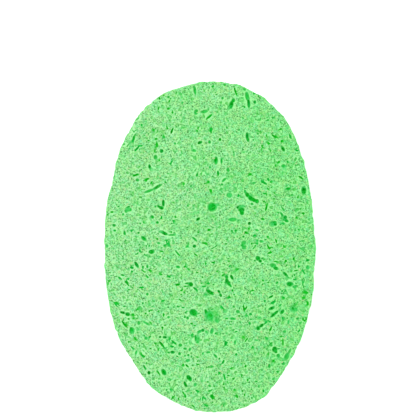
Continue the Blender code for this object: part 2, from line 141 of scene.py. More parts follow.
# Smaller ones: x, y, size along x, size along y, how dark it reads from 0 (a
# faint dip) to 3 (a deep hole). Cells.
SPOTS = (
    # blunt end
    (196, 112, 4, 6, 1), (191, 121, 1.8, 6, 0), (184, 117.5, 3, 4, 0),
    (182.5, 103, 2.5, 3, 1), (213, 86.5, 2, 2.5, 1), (224.5, 85, 2.5, 1.5, 1),
    (222.5, 98, 2.5, 2.5, 2), (221, 102.5, 1.5, 3, 1), (244.5, 107, 2, 2, 1),
    (254.8, 102, 3, 3.6, 2), (254, 93.5, 2, 2, 1), (258.5, 96, 1.5, 2.5, 1),
    (163.5, 95, 2, 2, 1), (168.5, 97, 3, 2.6, 1), (170.5, 98.5, 1.5, 1.5, 1),
    (169.5, 100.5, 1.5, 1.5, 1), (159.5, 98.5, 2, 3, 1), (158.5, 108.5, 1.5, 3, 1),
    (168, 108.5, 2, 2, 2), (172.5, 112.5, 2, 2, 1), (176.5, 117.5, 1.4, 1.4, 1),
    (141.5, 125, 1.5, 2.5, 1), (153.5, 129.5, 1.4, 1.4, 1), (134, 131.5, 2, 2, 1),
    (167, 127.5, 1.5, 4, 1), (198, 128.5, 1.5, 3, 1), (202, 128.5, 2, 2, 0),
    (211, 130.5, 1.8, 6.5, 2), (220, 139.5, 2.2, 3, 2), (227, 128, 2, 2, 1),
    (239, 130, 2, 1.5, 1), (156, 139, 3.5, 2, 1), (157, 144.5, 2, 5, 1),
    (155, 150.5, 1.5, 3, 1), (155.5, 157, 4, 5, 1), (164, 136.5, 1.5, 2.5, 1),
    (175, 143.5, 2.5, 2.5, 1), (142, 145.5, 1.5, 1.5, 1), (148.5, 140.5, 1.4, 1.4, 1),
    (209.5, 142, 3, 3.5, 2), (194, 150.5, 4, 3, 1), (217, 148, 1.5, 5, 0),
    (268, 120, 1.5, 1.5, 1), (273, 118, 1.5, 2, 1), (281, 129, 2, 2, 1),
    (260, 131.5, 6, 1.5, 0), (258, 134, 2, 1.5, 1), (266.5, 136, 1.5, 2.5, 1),
    (281.5, 141, 2, 2, 2), (268.5, 143.5, 2, 2.5, 1), (262, 146, 1.5, 3, 1),
    (253.5, 140, 2, 1.5, 1), (270.5, 151, 1.3, 2, 1), (297, 150.5, 3, 2, 1),
    (272.5, 108.5, 1.3, 2, 1),
    # upper middle
    (144, 168, 2.5, 3.5, 0), (159.5, 160.5, 1.5, 1.5, 1), (171, 163, 1.5, 4, 1),
    (137.5, 180, 3.5, 3, 1), (166, 182.5, 1.5, 1.5, 1), (151.5, 182.5, 1.5, 1.5, 1),
    (140.5, 197, 2.5, 1.5, 1), (210, 167.5, 1.8, 1.8, 1), (218, 173, 2, 5, 2),
    (228, 170, 3.5, 4, 1), (197, 175, 2, 3.5, 2), (222, 184.5, 2.5, 2.5, 2),
    (228.5, 183.5, 3, 2, 0), (208.5, 182, 2, 2, 1), (204.5, 183.5, 1.4, 1.4, 1),
    (191, 186, 1.5, 2.5, 1), (184, 184, 2, 1.5, 1), (211, 190.5, 2, 2.5, 2),
    (238.5, 195.5, 2, 3, 1), (252, 204, 3, 3, 1),
    (250, 174.5, 3, 2, 1), (254, 183, 3.5, 2.5, 1), (270.5, 182, 1.5, 2, 1),
    (271.5, 187.5, 1.4, 1.4, 1), (268, 189, 2.5, 1.3, 1), (279, 162, 1.8, 2.5, 1),
    (275.5, 166, 1.8, 1.8, 1), (287.5, 161.5, 1.5, 2, 1), (288, 188.5, 3.5, 2.2, 2),
    (264.5, 193.5, 4, 1.3, 1), (274, 199, 3, 1.3, 1), (278, 195, 8, 3, 0),
    (298, 197.5, 1.8, 1.8, 1), (292, 195, 2.5, 1.3, 1), (307.5, 202, 2, 5, 0),
    (264, 201.5, 2, 2, 1), (274.5, 203, 1.4, 1.4, 1),
    # middle, above the widest line
    (233, 219.5, 9.4, 3.8, 1), (188, 206, 2, 1.5, 1), (209, 229.5, 3, 2, 2),
    (249.5, 223.5, 3.2, 3.2, 3), (249, 229, 2, 1.3, 1), (266.3, 208, 2, 6, 2),
    (278.5, 212.5, 1.4, 1.4, 1), (300.3, 209, 2, 1.5, 1), (303.3, 213.3, 3, 2.2, 2),
    (309, 219.5, 3, 2, 0), (282, 216.5, 1.5, 3.5, 1), (262.5, 219, 3.5, 2, 2),
    (283, 223.5, 2, 1.3, 1), (296.5, 217, 1.5, 1.5, 1), (298.5, 229.5, 1.4, 1.4, 1),
    (155.5, 206.5, 2.5, 2.5, 2), (123, 214.5, 2.5, 3, 1), (112, 212, 3, 2, 1),
    (108, 214, 2, 1.5, 1), (118.5, 206.5, 2, 1.5, 1), (146.5, 209, 3, 3, 0),
    (152.5, 217, 3, 3.5, 3), (157.3, 222.5, 3, 3, 3), (161.5, 217.5, 2, 3, 1),
    (142, 218.5, 4, 2, 0), (114, 225.3, 3.5, 3, 2), (173.5, 221, 2.5, 2, 1),
    (172, 223.5, 1.5, 1.5, 1), (170, 220, 1.4, 1.4, 1), (175.5, 217, 2, 2, 1),
    (143.5, 222.5, 1.5, 1.5, 1), (140.5, 223.5, 1.4, 1.4, 1),
    # left of the middle
    (114.8, 230.6, 3, 1.8, 1), (124.6, 233.3, 2.6, 4.8, 3), (127.7, 231, 2, 2, 0),
    (131.6, 231, 1.5, 1.5, 1), (138.6, 232.8, 2, 2, 2), (171.4, 232.2, 1.3, 2, 1),
    (157.5, 238.8, 1.3, 2, 1), (158.6, 243.1, 4, 2.5, 1), (164.6, 245.4, 3, 2, 1),
    (149.3, 245.6, 1.5, 2.6, 1), (146.3, 246, 1.3, 2, 1), (121.6, 246.4, 2, 1.3, 1),
    (106.3, 246, 4, 4, 1), (112, 248.6, 4, 2.5, 0), (139.8, 251, 1.5, 2.4, 1),
    (136.5, 254.1, 3, 1.3, 1), (144.5, 254.4, 1.4, 1.4, 1), (161.8, 251.4, 2, 1.3, 1),
    (158.8, 257, 3, 3, 0), (131.8, 267.7, 4.2, 2, 3), (132, 271.6, 2, 2.4, 1),
    (142.8, 266.9, 2, 2, 1), (147.4, 266.4, 2.4, 3.8, 3), (154, 266.7, 1.3, 2.6, 1),
    (149.5, 270.3, 2.4, 1.3, 1), (122.8, 275.2, 4.4, 1.6, 1),
    (116.6, 276.5, 1.5, 1.5, 1), (128.6, 279.4, 1.4, 1.4, 1), (131, 285.8, 1.3, 1.3, 1),
    (132.7, 288, 1.3, 1.3, 1), (133.2, 285.6, 1.3, 1.3, 1), (109, 281.1, 3, 1.5, 1),
    (141.3, 287.6, 5.5, 1.6, 1), (147.3, 294.3, 2.8, 3, 3), (136.5, 291.5, 3, 1.8, 0),
    (129, 289.5, 2.2, 1.3, 1), (161.7, 274.4, 1.8, 1.5, 1), (176.8, 276.5, 1.8, 4, 0),
    (163.4, 300.7, 3, 1.3, 1), (142.9, 303.2, 2, 2, 1), (149, 304, 2, 7, 0),
    (177.8, 284.6, 4, 2.2, 2),
    # lower left
    (124.4, 306.4, 2.5, 1.5, 1), (137, 309.5, 2, 1.5, 1), (132.8, 314.3, 2.4, 1.6, 1),
    (128.6, 319, 2, 2, 1), (133.2, 318.8, 1.5, 1.5, 1), (149.3, 311, 1.8, 2.4, 2),
    (158.3, 311.2, 1.6, 1.6, 1), (147.8, 315.2, 1.6, 1.6, 1), (145.6, 313.6, 2, 2, 1),
    (163.4, 315, 1.4, 3.5, 1), (168.6, 317.4, 3.4, 2.4, 1), (138.9, 322.9, 3.2, 4.4, 1),
    (150.4, 322.6, 1.5, 1.5, 1), (137, 327.6, 3, 1.8, 0), (165, 325.3, 2.4, 1.3, 1),
    (162.3, 327.6, 2.5, 2, 1), (146, 338.2, 3.6, 3.4, 1), (150, 336.6, 2, 1.8, 2),
    (144.2, 335.8, 1.6, 2, 1), (170, 338.8, 2, 2, 1), (128.6, 342, 1.3, 2, 1),
    (155, 343.2, 2, 1.6, 1), (172.3, 346.8, 3.2, 2, 2), (169, 352.5, 2, 2, 1),
    (177.4, 356.6, 2.2, 1.5, 1), (139.6, 346, 1.3, 1.8, 1), (150.6, 348.7, 2, 1.3, 1),
    (158.2, 350, 1.8, 1.8, 1), (136.1, 352.8, 2.4, 4.4, 1), (146.5, 363.2, 1.4, 2, 1),
    (137.6, 362.4, 1.4, 1.4, 1), (149, 372.8, 3.2, 3.6, 3), (153.2, 371.8, 2, 2.6, 0),
    # middle, below the widest line
    (198.4, 232.4, 1.4, 1.4, 1), (209, 230.4, 3.2, 1.6, 2), (212, 234, 1.8, 1.5, 1),
    (181.2, 238.2, 2, 1.3, 1), (194.4, 246.2, 3.8, 3.4, 3), (188, 246.8, 2, 1.4, 1),
    (226, 243.9, 2.4, 1.4, 1), (222.5, 243, 1.3, 2, 1), (217, 235.5, 1.4, 4, 0),
    (232, 231, 2, 2, 1), (235.5, 230.7, 2, 2, 1), (243.4, 236.7, 2.2, 2, 1),
    (245.6, 232.3, 3, 2.2, 1), (204.5, 238.3, 2.4, 1.6, 0), (213.2, 262.3, 4, 1.3, 2),
    (205.8, 263.6, 2, 1.3, 1), (203.3, 263.7, 1.2, 1.2, 1), (229, 261.2, 2, 1.3, 1),
    (228.2, 258.8, 1.3, 1.3, 1), (178, 267, 4.6, 2.8, 3), (184.6, 266.8, 1.8, 2, 1),
    (188.8, 269, 1.8, 1.4, 1), (197.6, 272.5, 1.6, 1.6, 2), (202.4, 277.2, 1.4, 2, 2),
    (210.4, 274.4, 1.2, 1.2, 1), (216.6, 271.4, 1.3, 1.3, 1), (229.3, 266.4, 1.4, 2, 1),
    (237.4, 269.3, 1.4, 2.5, 1), (227.9, 274.6, 1.5, 2, 1), (223.4, 275.2, 4, 2.2, 1),
    (181.2, 277.6, 2, 3.5, 0), (185.5, 286.3, 4, 1.3, 1), (181.4, 290.6, 2.4, 1.8, 1),
    (181.6, 294.8, 1.6, 1.6, 1), (184.2, 292.4, 1.4, 1.2, 1), (204, 286.6, 3.8, 1.4, 1),
    (208.4, 283.3, 3.6, 1.6, 1), (201.4, 283.2, 2, 1.5, 1), (213.6, 284.6, 1.4, 1.4, 1),
    (206.2, 294.4, 1.8, 1.2, 1), (232.6, 290.5, 2.2, 2.6, 1), (229.2, 297.2, 2, 2.2, 3),
    (225.4, 292.6, 1.3, 1.3, 1), (234.2, 294.6, 1.5, 1.5, 1), (252.5, 277.8, 1.4, 1.4, 1),
    (247.6, 292.6, 1.4, 2, 1), (251.8, 290.8, 5, 1.3, 1), (233.8, 306.6, 2.6, 2.8, 1),
    (178, 306.6, 3, 2.4, 1), (182.8, 307.6, 2.6, 1.6, 1), (179.6, 299.4, 2.4, 1.2, 1),
    # lower middle
    (185.7, 312.8, 2, 1.8, 1), (187.6, 318, 3, 3.4, 1), (185, 317, 2, 2, 1),
    (225, 311.2, 5, 4, 0), (238, 311.7, 4.2, 3.4, 1), (239.2, 316, 2, 1.8, 1),
    (250.6, 314.2, 3.4, 3, 2), (246.8, 315.6, 1.6, 1.6, 1), (251, 319.3, 2.2, 1.6, 1),
    (232.8, 318.8, 5.6, 3.0, 2), (227, 318.5, 3, 1.3, 1), (231.6, 321.4, 1.6, 1.6, 1),
    (249.8, 324, 2, 2, 1), (191.6, 323.5, 3, 1.4, 1), (195, 325.7, 2, 1.6, 1),
    (201, 340.2, 2, 1.2, 1),
    (212, 331, 3.4, 6.2, 1), (215.6, 333.5, 1.6, 2, 1), (205.6, 331.6, 1.6, 1.6, 1),
    (192.6, 334.6, 3, 1.8, 1), (180.2, 345.3, 4, 3.4, 1), (185.2, 348.7, 3.2, 2.6, 2),
    (189.8, 349.4, 2.4, 4, 2), (179.6, 353.8, 3, 3, 2), (188.2, 355, 2.4, 2, 1),
    (185, 355.8, 2, 1.5, 1), (191.6, 356.6, 1.4, 1.4, 1), (187.8, 360.6, 5, 3, 1),
    (183, 365.2, 1.3, 2.2, 1), (202.9, 353.6, 2.4, 3, 1), (208.2, 352.4, 4.4, 2.4, 1),
    (219.2, 358.8, 2, 2, 1), (208.8, 367, 2, 2, 2), (211.4, 366.6, 4, 2.8, 1),
    (219.2, 372.5, 2.2, 2.4, 1), (224.6, 377.6, 1.9, 5, 1), (225.4, 343.6, 2.2, 3.6, 2),
    (226.4, 342.4, 3, 1.6, 2), (235.1, 342.4, 2.6, 4.6, 1), (243.2, 336.8, 2, 1.6, 1),
    (236.4, 331.5, 2.4, 1.3, 1), (230.6, 327.6, 3, 3, 0), (236.2, 354.5, 2, 2.8, 2),
    (245.6, 366.2, 2, 3, 1), (231.6, 368.2, 1.8, 2, 1), (241.6, 376, 1.3, 4, 1),
    (252.8, 347, 2, 2, 1), (197.8, 357.2, 2.2, 1.6, 1), (197.8, 361, 1.4, 2, 1),
    (197.6, 364.5, 2.2, 1.6, 1),
    # right of the middle
    (257, 230.2, 4, 2.4, 2), (254.6, 235.3, 3.2, 2, 1), (246.5, 233, 2.5, 2, 1),
    (267.7, 236.6, 2.2, 1.8, 1), (265.2, 239.7, 2, 1.3, 1), (261.5, 241.3, 4.5, 3, 1),
    (258, 240.8, 1.4, 1.4, 1), (251.7, 243.8, 1.8, 1.8, 1), (257.2, 243.8, 1.5, 1.8, 1),
    (255.3, 246, 1.8, 1.4, 1), (253.5, 248.4, 1.4, 1.4, 1), (269.8, 252.7, 4.2, 2, 1),
    (263.4, 259.4, 1.8, 2.6, 1), (275.4, 261.5, 3.6, 1.3, 1), (262.5, 263.6, 3, 1.3, 1),
    (283.6, 245.8, 1.3, 2, 1), (302.5, 241, 3, 1.5, 1), (306.3, 237, 2, 1.3, 1),
    (297.8, 236.6, 1.5, 1.5, 1), (297.8, 239.3, 1.4, 1.4, 1), (293.6, 259, 2.2, 2.6, 1),
    (290.4, 259.2, 3, 2, 0), (307.9, 260.4, 3.8, 2.2, 2), (286, 261, 2.2, 2.4, 1),
    (286.8, 265.2, 1.6, 1.6, 1), (299, 266.4, 2, 2, 1), (296, 270.6, 4.4, 1.4, 1),
    (294.8, 275, 1.6, 2.2, 1), (292.4, 276.7, 1.4, 1.4, 1), (295, 279.6, 4, 1.8, 1),
    (263, 280.6, 2.2, 1.6, 1), (277.2, 282.6, 1.8, 2.6, 1), (278, 287, 3, 2, 0),
    (302.8, 283.2, 1.3, 6, 1), (296, 283.4, 1.6, 1.6, 1), (297, 285.8, 1.3, 1.3, 1),
    (293.4, 287, 2.2, 1.6, 1), (285.3, 290, 1.3, 1.6, 1), (282.2, 291.2, 2, 2, 1),
    (306, 292.5, 4.4, 1.5, 1), (303.6, 297.7, 2.6, 1.3, 1), (311.6, 294.5, 1.6, 1.6, 1),
    (283.6, 297.8, 2.8, 2, 2), (264.8, 301, 2.6, 3.2, 2), (258.8, 306, 1.4, 2, 1),
    (307.8, 303.3, 2, 4, 1), (280.4, 305.2, 1.8, 1.6, 1),
    # lower right
    (282.5, 318, 1.5, 2.2, 1), (287.2, 318.3, 2.6, 1.3, 1), (297.8, 318.6, 3.4, 2.8, 1),
    (303, 319, 1.8, 3, 1), (304.6, 320.8, 2, 1.8, 1), (288.5, 322, 2.4, 4.6, 1),
    (259.8, 317.8, 2.8, 2.6, 1), (264.6, 319.6, 1.5, 1.5, 1), (275.4, 323.4, 1.4, 1.4, 1),
    (284.6, 331.6, 4.2, 3, 1), (280.8, 336.7, 2.6, 1.4, 1), (266.6, 338, 1.4, 2, 1),
    (282.9, 342, 1.3, 7, 1), (268.2, 353.8, 1.3, 2.8, 1), (267.4, 356.2, 3, 6, 0),
    (278.2, 355.6, 3.6, 3.6, 1), (273.3, 360.9, 2, 2.8, 1), (283.3, 363.6, 3.4, 3.4, 1),
    (269.4, 366.1, 2.6, 4.6, 2), (262.2, 370.4, 2.6, 2.6, 0), (277.6, 371.5, 3.2, 1.6, 1),
    (273.6, 379, 2.8, 2.6, 1),
    # narrow end
    (195.1, 384.6, 3.2, 3.2, 1), (185.2, 396.2, 2, 3.2, 1), (172.8, 397.6, 1.8, 3.2, 1),
    (178.6, 398.8, 1.3, 3, 1), (170.6, 389.6, 1.6, 1.6, 1), (166.6, 390, 1.3, 2, 1),
    (205.9, 405.5, 3, 1.3, 1), (204.6, 408.7, 2, 1.3, 1), (202.6, 398.8, 1.3, 3.4, 1),
    (205.2, 398.6, 2, 2, 1), (212.6, 402.4, 1.4, 1.4, 1), (237.1, 396.6, 2, 3.2, 1),
    (207.6, 382, 2.6, 2, 1), (209.7, 386, 3.2, 2.6, 1), (209.6, 391, 3, 1.6, 1),
    (223.6, 384.6, 1.5, 1.5, 1), (224, 387.3, 1.8, 1.8, 1), (214.2, 386.3, 2, 1.3, 1),
    (227.2, 382.5, 2, 3.4, 0), (228.3, 375.6, 2.4, 1.4, 1), (233.2, 378.8, 2, 2, 1),
    (247.6, 380, 1.3, 3, 1), (256.2, 381.6, 2.2, 1.6, 1), (234.4, 390, 1.3, 3, 1),
    (242.6, 391, 2, 2, 1), (244.6, 395, 1.5, 3, 1), (252, 398, 1.5, 2.6, 1),
    (222.6, 405.6, 1.3, 2.4, 1), (258.8, 387.3, 1.5, 1.5, 1), (263.4, 391, 2.2, 3, 1),
    (237.2, 409.2, 3, 1.5, 1), (245.5, 405, 8, 3, 0),
)

# Slits: from x, y to x, y, width, how dark it reads. Cells.
SLITS = (
    (194, 86, 195.8, 94.5, 3, 1), (212, 114.5, 206.5, 119, 2, 1),
    (233.5, 86, 237.5, 98, 1.6, 1), (173.5, 127, 170.5, 134, 2, 1),
    (134.5, 136, 132.5, 141.5, 2.1, 1), (130, 142, 125.5, 149.5, 1.4, 0),
    (139, 146, 134.5, 152, 2.2, 1), (197.8, 143.4, 202.2, 141.6, 3, 2),
    (272, 134.5, 276.5, 138, 2, 2), (289.5, 134, 291.5, 139, 2.5, 2),
    (281.5, 146, 284.5, 151.5, 3.5, 1), (133.4, 175.8, 137.6, 174.2, 2, 2),
    (144.9, 179.9, 149.1, 178.1, 2, 1), (226, 178, 222, 182, 2.5, 2),
    (261.5, 181, 267, 184.5, 2.2, 2), (267, 178.5, 269.5, 181, 2, 1),
    (298.5, 176, 304, 179.5, 1.8, 2), (273.5, 192, 275.6, 194, 1.3, 1),
    (196.2, 220.2, 199.8, 217.8, 3, 2), (281, 206, 285, 212, 1.3, 1),
    (166.6, 239.5, 166.5, 243, 1.3, 1), (166.5, 242.6, 169.6, 245.3, 1.3, 1),
    (175.5, 250.4, 180, 256.5, 1.6, 1), (141, 269, 144.8, 272.4, 1.2, 1),
    (145.5, 274.5, 148.8, 278, 1.2, 1), (114.5, 264.5, 119, 269.6, 1.4, 0),
    (117.8, 276.8, 121.8, 279.8, 2.3, 3), (125, 281.1, 129.4, 286, 1.7, 3),
    (147.3, 282, 151.8, 285.2, 2.6, 0), (167.8, 275.7, 170.8, 278, 1.5, 2),
    (115.6, 302.4, 119.0, 305.2, 1.2, 1), (114.8, 304.2, 118.0, 307.0, 1.2, 1),
    (141.8, 320.6, 149.8, 325.6, 2.4, 1), (121.2, 321.4, 127.7, 327.8, 1.8, 3),
    (133.8, 337, 137, 341, 1.3, 1), (159, 341, 165, 348.6, 2.1, 2),
    (171, 340, 176.4, 344.6, 1.8, 2), (131, 346.4, 133.2, 349, 1.3, 1),
    (141.5, 354.4, 145, 357.2, 1.5, 2), (143.4, 365, 146, 370, 2, 1),
    (156.4, 370.6, 160.2, 374.6, 1.6, 1), (192, 237, 197.4, 241.4, 2.3, 2),
    (201, 242.6, 206.4, 243.6, 1.4, 2), (210.6, 249.4, 214, 247.4, 1.1, 1),
    (214, 247.4, 217.6, 245.2, 1.1, 1), (194, 253.8, 197.8, 256, 1.5, 1),
    (193.4, 287.4, 198, 290.8, 2, 1), (221.6, 306.6, 224.6, 310.4, 1.6, 1), (243.6, 304.8, 244.2, 310.8, 1.6, 2),
    (244.6, 310.0, 247.4, 306.6, 1.5, 2),
    (185.4, 364.2, 188.8, 367.6, 1.8, 2), (213.8, 354.2, 217.2, 358, 2.5, 2),
    (222, 363.8, 224.2, 360, 2, 1), (244.4, 342.4, 248.2, 337.4, 1.4, 1),
    (275.2, 238.8, 277, 242.8, 1.5, 2), (267, 244, 269.8, 249.6, 1.6, 1),
    (302.4, 270.3, 305, 274, 1.5, 1), (269, 298.2, 272.8, 295.4, 2.2, 2),
    (270.4, 303.4, 275.8, 301, 2, 1), (262, 326.0, 267, 322, 1.4, 1),
    (268, 320.4, 270.6, 323, 1.3, 1), (272, 327, 269.2, 331.4, 1.5, 1),
    (300, 329.8, 297.6, 332.4, 1.6, 1), (269.4, 345.4, 272.8, 342.4, 2.2, 1),
    (195.4, 390, 199, 392.6, 2, 1), (182.4, 391.6, 184.6, 394.8, 1.4, 1),
    (192, 404.8, 194.8, 407.8, 1.4, 1), (211, 394.6, 213.2, 399.8, 2.2, 2),
)

# Places where the face is closed and smooth: x, y, radius. Cells.
SMOOTH = (
    (125, 264, 5), (126.5, 294, 3), (164, 278, 4), (130, 306, 9), (192, 275, 8),
    (221.5, 254, 6), (238, 245, 3), (245, 266, 5), (206, 253, 3), (290, 253, 6),
    (306, 283.5, 4), (165, 364, 5), (187, 327, 4), (240, 333.5, 4), (211, 347, 6),
    (227, 365.5, 3), (243, 355, 4), (253, 333, 8), (276, 333, 4), (288.5, 342, 4),
    (177, 389, 8), (235, 384, 6), (182, 215, 9), (120, 186, 7), (262, 160, 6),
    (184, 166, 7), (215, 181, 4), (150, 118, 6), (232, 117, 5), (293, 205, 5),
)

# Where the dye took less (above 0) or more (below 0) than elsewhere: x, y,
# reach along x and along y, how much. Cells.
DYE = (
    (147, 121, 14, 8, 0.9), (114, 185, 9, 15, 1.1), (184, 200, 13, 12, 1.1),
    (140, 266, 20, 12, 0.7), (121, 293, 12, 13, 0.8), (165, 275, 8, 20, 0.7),
    (236, 360, 24, 18, 0.4), (216, 399, 20, 9, 0.8), (110, 250, 7, 40, 0.5),
    (285, 145, 12, 28, -1.1), (306, 192, 9, 24, -1.3), (310, 252, 7, 30, -1.0),
    (288, 313, 19, 12, -1.1), (281, 353, 11, 17, -1.0), (262, 188, 20, 13, -0.6),
    (250, 95, 10, 10, -0.9), (175, 346, 16, 8, -0.6), (188, 376, 7, 10, -0.5),
    (172, 150, 24, 16, -0.2), (238, 192, 13, 11, -0.4), (150, 340, 18, 9, -0.3),
)

# Undyed fibre in the cut face: x, y, and its length in cells.
FLECKS = (
    (199, 138, 2.4), (180, 190, 2), (286, 167, 2.4), (276, 134, 2), (152.5, 243, 2.2),
    (151, 239, 2), (146.5, 241.5, 2), (131.5, 262.8, 2.6), (139.5, 269.5, 2.4),
    (147.2, 289, 2.6), (119, 272.5, 2.4), (125, 278.5, 2.2), (135, 287, 2.6),
    (111.5, 297, 2), (197, 245, 2), (182, 248.6, 2), (184, 268.6, 2),
    (226, 272.6, 2.2), (216, 293, 5), (193.5, 304.5, 2), (227, 304, 2),
    (222.3, 244, 2), (178, 288, 2), (184, 304, 2), (278.6, 265, 2.4),
    (294, 265.2, 2), (299.6, 270, 2.4), (249.8, 293.6, 2.6), (263.4, 263.5, 2.2),
    (222, 366.2, 2), (213.4, 362.6, 2), (220.4, 371.4, 2), (205, 358.6, 2),
    (231.6, 342.4, 2), (237, 318.6, 2), (241.2, 337, 2), (179.6, 326, 5.5),
    (193, 330.8, 2), (207.6, 329, 2), (202.4, 316, 5), (287, 313, 2.2),
    (289.2, 327, 2.4), (285.6, 337.6, 4), (302.6, 315, 2), (261.4, 332, 2),
    (273.6, 366.4, 2.4), (267.4, 365, 2), (282.2, 362, 2), (257, 315, 2),
    (260.4, 322.6, 2), (268, 326.6, 2), (122.5, 317.8, 5), (135, 335, 2),
    (153, 338.6, 2), (157, 340, 2), (163, 341, 2), (151, 365, 7),
    (166, 313, 2), (172.5, 356, 2), (177.5, 358, 2), (183, 357.5, 2),
    (199, 401, 2.2), (200, 405.6, 2), (235, 396.2, 2), (216.4, 396, 2),
    (120, 315, 2), (206, 189, 2), (229, 166, 2), (262, 142, 2.2), (160, 176, 2.2),
    (288, 236, 2), (168, 195, 2), (232, 225, 2.2), (240, 199, 2), (213, 223, 2.4),
)

# Strands across the large pores of the top face, as the CAD's nodes have them.
FIBRE_DEPTH, FIBRE_HOLD = 1.35, 1.8
SPANS = (
    ("fibre_strand_01", (204.6, 308.0), (217.6, 320.6), 0.5, 0.5),
    ("fibre_strand_02", (205.6, 318.6), (215.4, 309.4), -0.4, 1.3),
    ("fibre_strand_03", (190.6, 315.0), (196.8, 311.2), 0.2, 0.4),
    ("fibre_strand_04", (208.8, 209.6), (216.2, 204.6), 0.3, 0.5),
    ("fibre_strand_05", (238.4, 207.0), (244.0, 212.6), -0.3, 0.5),
    ("fibre_strand_06", (241.8, 246.8), (246.2, 242.8), 0.2, 0.4),
    ("fibre_strand_07", (207.8, 294.2), (212.8, 291.6), -0.2, 0.3),
    ("fibre_strand_08", (272.6, 351.2), (277.4, 347.6), 0.2, 0.3),
    ("fibre_strand_09", (226.0, 282.8), (230.0, 280.2), 0.2, 0.3),
)

BOTTOM_PORES, SIDE_PORES, PORE_SEED = 20, 26, 41
REST_POINT_CLEAR = 9.0
FAVOUR = 0.004                     # how much finer the top face's mesh is kept


# -------------------------------------------------------------------- outline
def outline_point(turn):
    c, s = math.cos(turn), math.sin(turn)
    power = BLUNT_POWER if s >= 0 else NARROW_POWER
    reach = BLUNT_REACH if s >= 0 else NARROW_REACH
    x = HALF_WIDTH * math.copysign(abs(c) ** (2 / power), c)
    y = reach * math.copysign(abs(s) ** (2 / power), s)
    lean = max(0.0, (-y - TIP_LEAN_START) / TIP_LEAN_SPAN)
    x += TIP_LEAN * lean ** 1.6
    y += WIDEST_Y
    direction = math.degrees(math.atan2(y, x))
    out = 0.0
    for centre, height, half in EDGE_WAVES:
        away = (direction - centre + 180.0) % 360.0 - 180.0
        out += height * math.exp(-(away / half) ** 2)
    r = math.hypot(x, y)
    return x * (1 + out / r), y * (1 + out / r)


def even(points, count):
    """The closed line through the points, as count evenly spaced ones."""
    closed = np.vstack([points, points[:1]])
    run = np.concatenate([[0], np.cumsum(np.hypot(*np.diff(closed, axis=0).T))])
    want = np.arange(count) * run[-1] / count
    return np.column_stack([np.interp(want, run, closed[:, k]) for k in (0, 1)])


def make_outline(count):
    fine = np.array([outline_point(2 * math.pi * i / 2400) for i in range(2400)])
    coarse = even(fine, OUTLINE_POINTS)
    low, high = coarse.min(0), coarse.max(0)
    fine = (fine - (low + high) / 2) * (np.array((WIDTH, LENGTH)) / (high - low))
    return even(fine, count)


OUTLINE = make_outline(480)
EDGE = np.roll(OUTLINE, -1, axis=0) - OUTLINE
EDGE_LENGTH = np.hypot(*EDGE.T)
PERIMETER = float(EDGE_LENGTH.sum())


def edge_distance(x, y):
    """Signed distance of points to the outline, below zero inside it."""
    x, y = x.astype(np.float32), y.astype(np.float32)
    best = np.full(x.shape, 1e9, np.float32)
    hit = np.zeros(x.shape, bool)
    for (ax, ay), (ex, ey) in zip(OUTLINE.astype(np.float32), EDGE.astype(np.float32)):
        px, py = x - ax, y - ay
        t = np.clip((px * ex + py * ey) / (ex * ex + ey * ey), 0, 1)
        px -= t * ex
        py -= t * ey
        np.minimum(best, px * px + py * py, out=best)
        if abs(ey) > 1e-9:
            cross = (ay > y) != (ay + ey > y)
            hit ^= cross & (x < ax + (y - ay) / ey * ex)
    best = np.sqrt(best)
    return np.where(hit, -best, best)


def grid_place(x, y):
    return np.array(((x - GRID_MIDDLE[0]) * CELL, (GRID_MIDDLE[1] - y) * CELL))


# ----------------------------------------------------------------- the volume
PAD = 1.3
lows = np.array((-WIDTH / 2 - PAD, -LENGTH / 2 - PAD, -PAD))
counts = [int(math.ceil((size + 2 * PAD) / step)) + 1
          for size, step in zip((WIDTH, LENGTH, THICKNESS), STEPS)]
XS, YS, ZS = [(lows[k] + STEPS[k] * np.arange(counts[k])).astype(np.float32)
              for k in range(3)]
rng = np.random.default_rng(207)


def spline_rows(count, step, wave):
    """Weights that turn random values every wave mm into a smooth row."""
    at = np.arange(count) * step / wave
    cell = np.floor(at).astype(int)
    t = at - cell
    rows = np.zeros((count, cell.max() + 4), np.float32)
    for k, w in enumerate(((1 - t) ** 3 / 6, (3 * t ** 3 - 6 * t ** 2 + 4) / 6,
                           (-3 * t ** 3 + 3 * t ** 2 + 3 * t + 1) / 6, t ** 3 / 6)):
        rows[np.arange(count), cell + k] = w
    return rows


def smooth_noise(wave, seed, shape=None):
    """Smooth random values over the grid, about -1 to 1, with a given scale."""
    shape = shape or counts
    gen = np.random.default_rng(seed)
    rows = [spline_rows(n, step, wave) for n, step in zip(shape, STEPS)]
    field = gen.standard_normal([r.shape[1] for r in rows]).astype(np.float32)
    for r in rows:
        field = np.tensordot(field, r, axes=(0, 1))
    return field / field.std()


def flat_noise(wave, seed):
    return smooth_noise(wave, seed, counts[:2])


def smooth_max(a, b, soft):
    h = np.maximum(soft - np.abs(a - b), 0) / soft
    return np.maximum(a, b) + h * h * (soft / 4)


def make_slab():
    gx, gy = np.meshgrid(XS, YS, indexing="ij")
    flat = edge_distance(gx, gy)
    across = (flat + EDGE_ROUND)[:, :, None]
    up = (np.abs(ZS - THICKNESS / 2) - THICKNESS / 2 + EDGE_ROUND)[None, None, :]
    slab = (np.sqrt(np.maximum(across, 0) ** 2 + np.maximum(up, 0) ** 2)
            + np.minimum(np.maximum(across, up), 0) - EDGE_ROUND)
    return flat, slab.astype(np.float32)


FLAT, SLAB = make_slab()
WARP = [smooth_noise(1.9, 11 + k) * 0.17 for k in range(3)]
# the blade's flat cut through foam: level cell walls with shallow pits between
VOLUME = SLAB + 0.045 * smooth_noise(1.15, 31) + 0.035 * smooth_noise(0.66, 32)
VOLUME += 0.45 * np.clip(smooth_noise(0.90, 35) - 0.80, 0, 1.4)
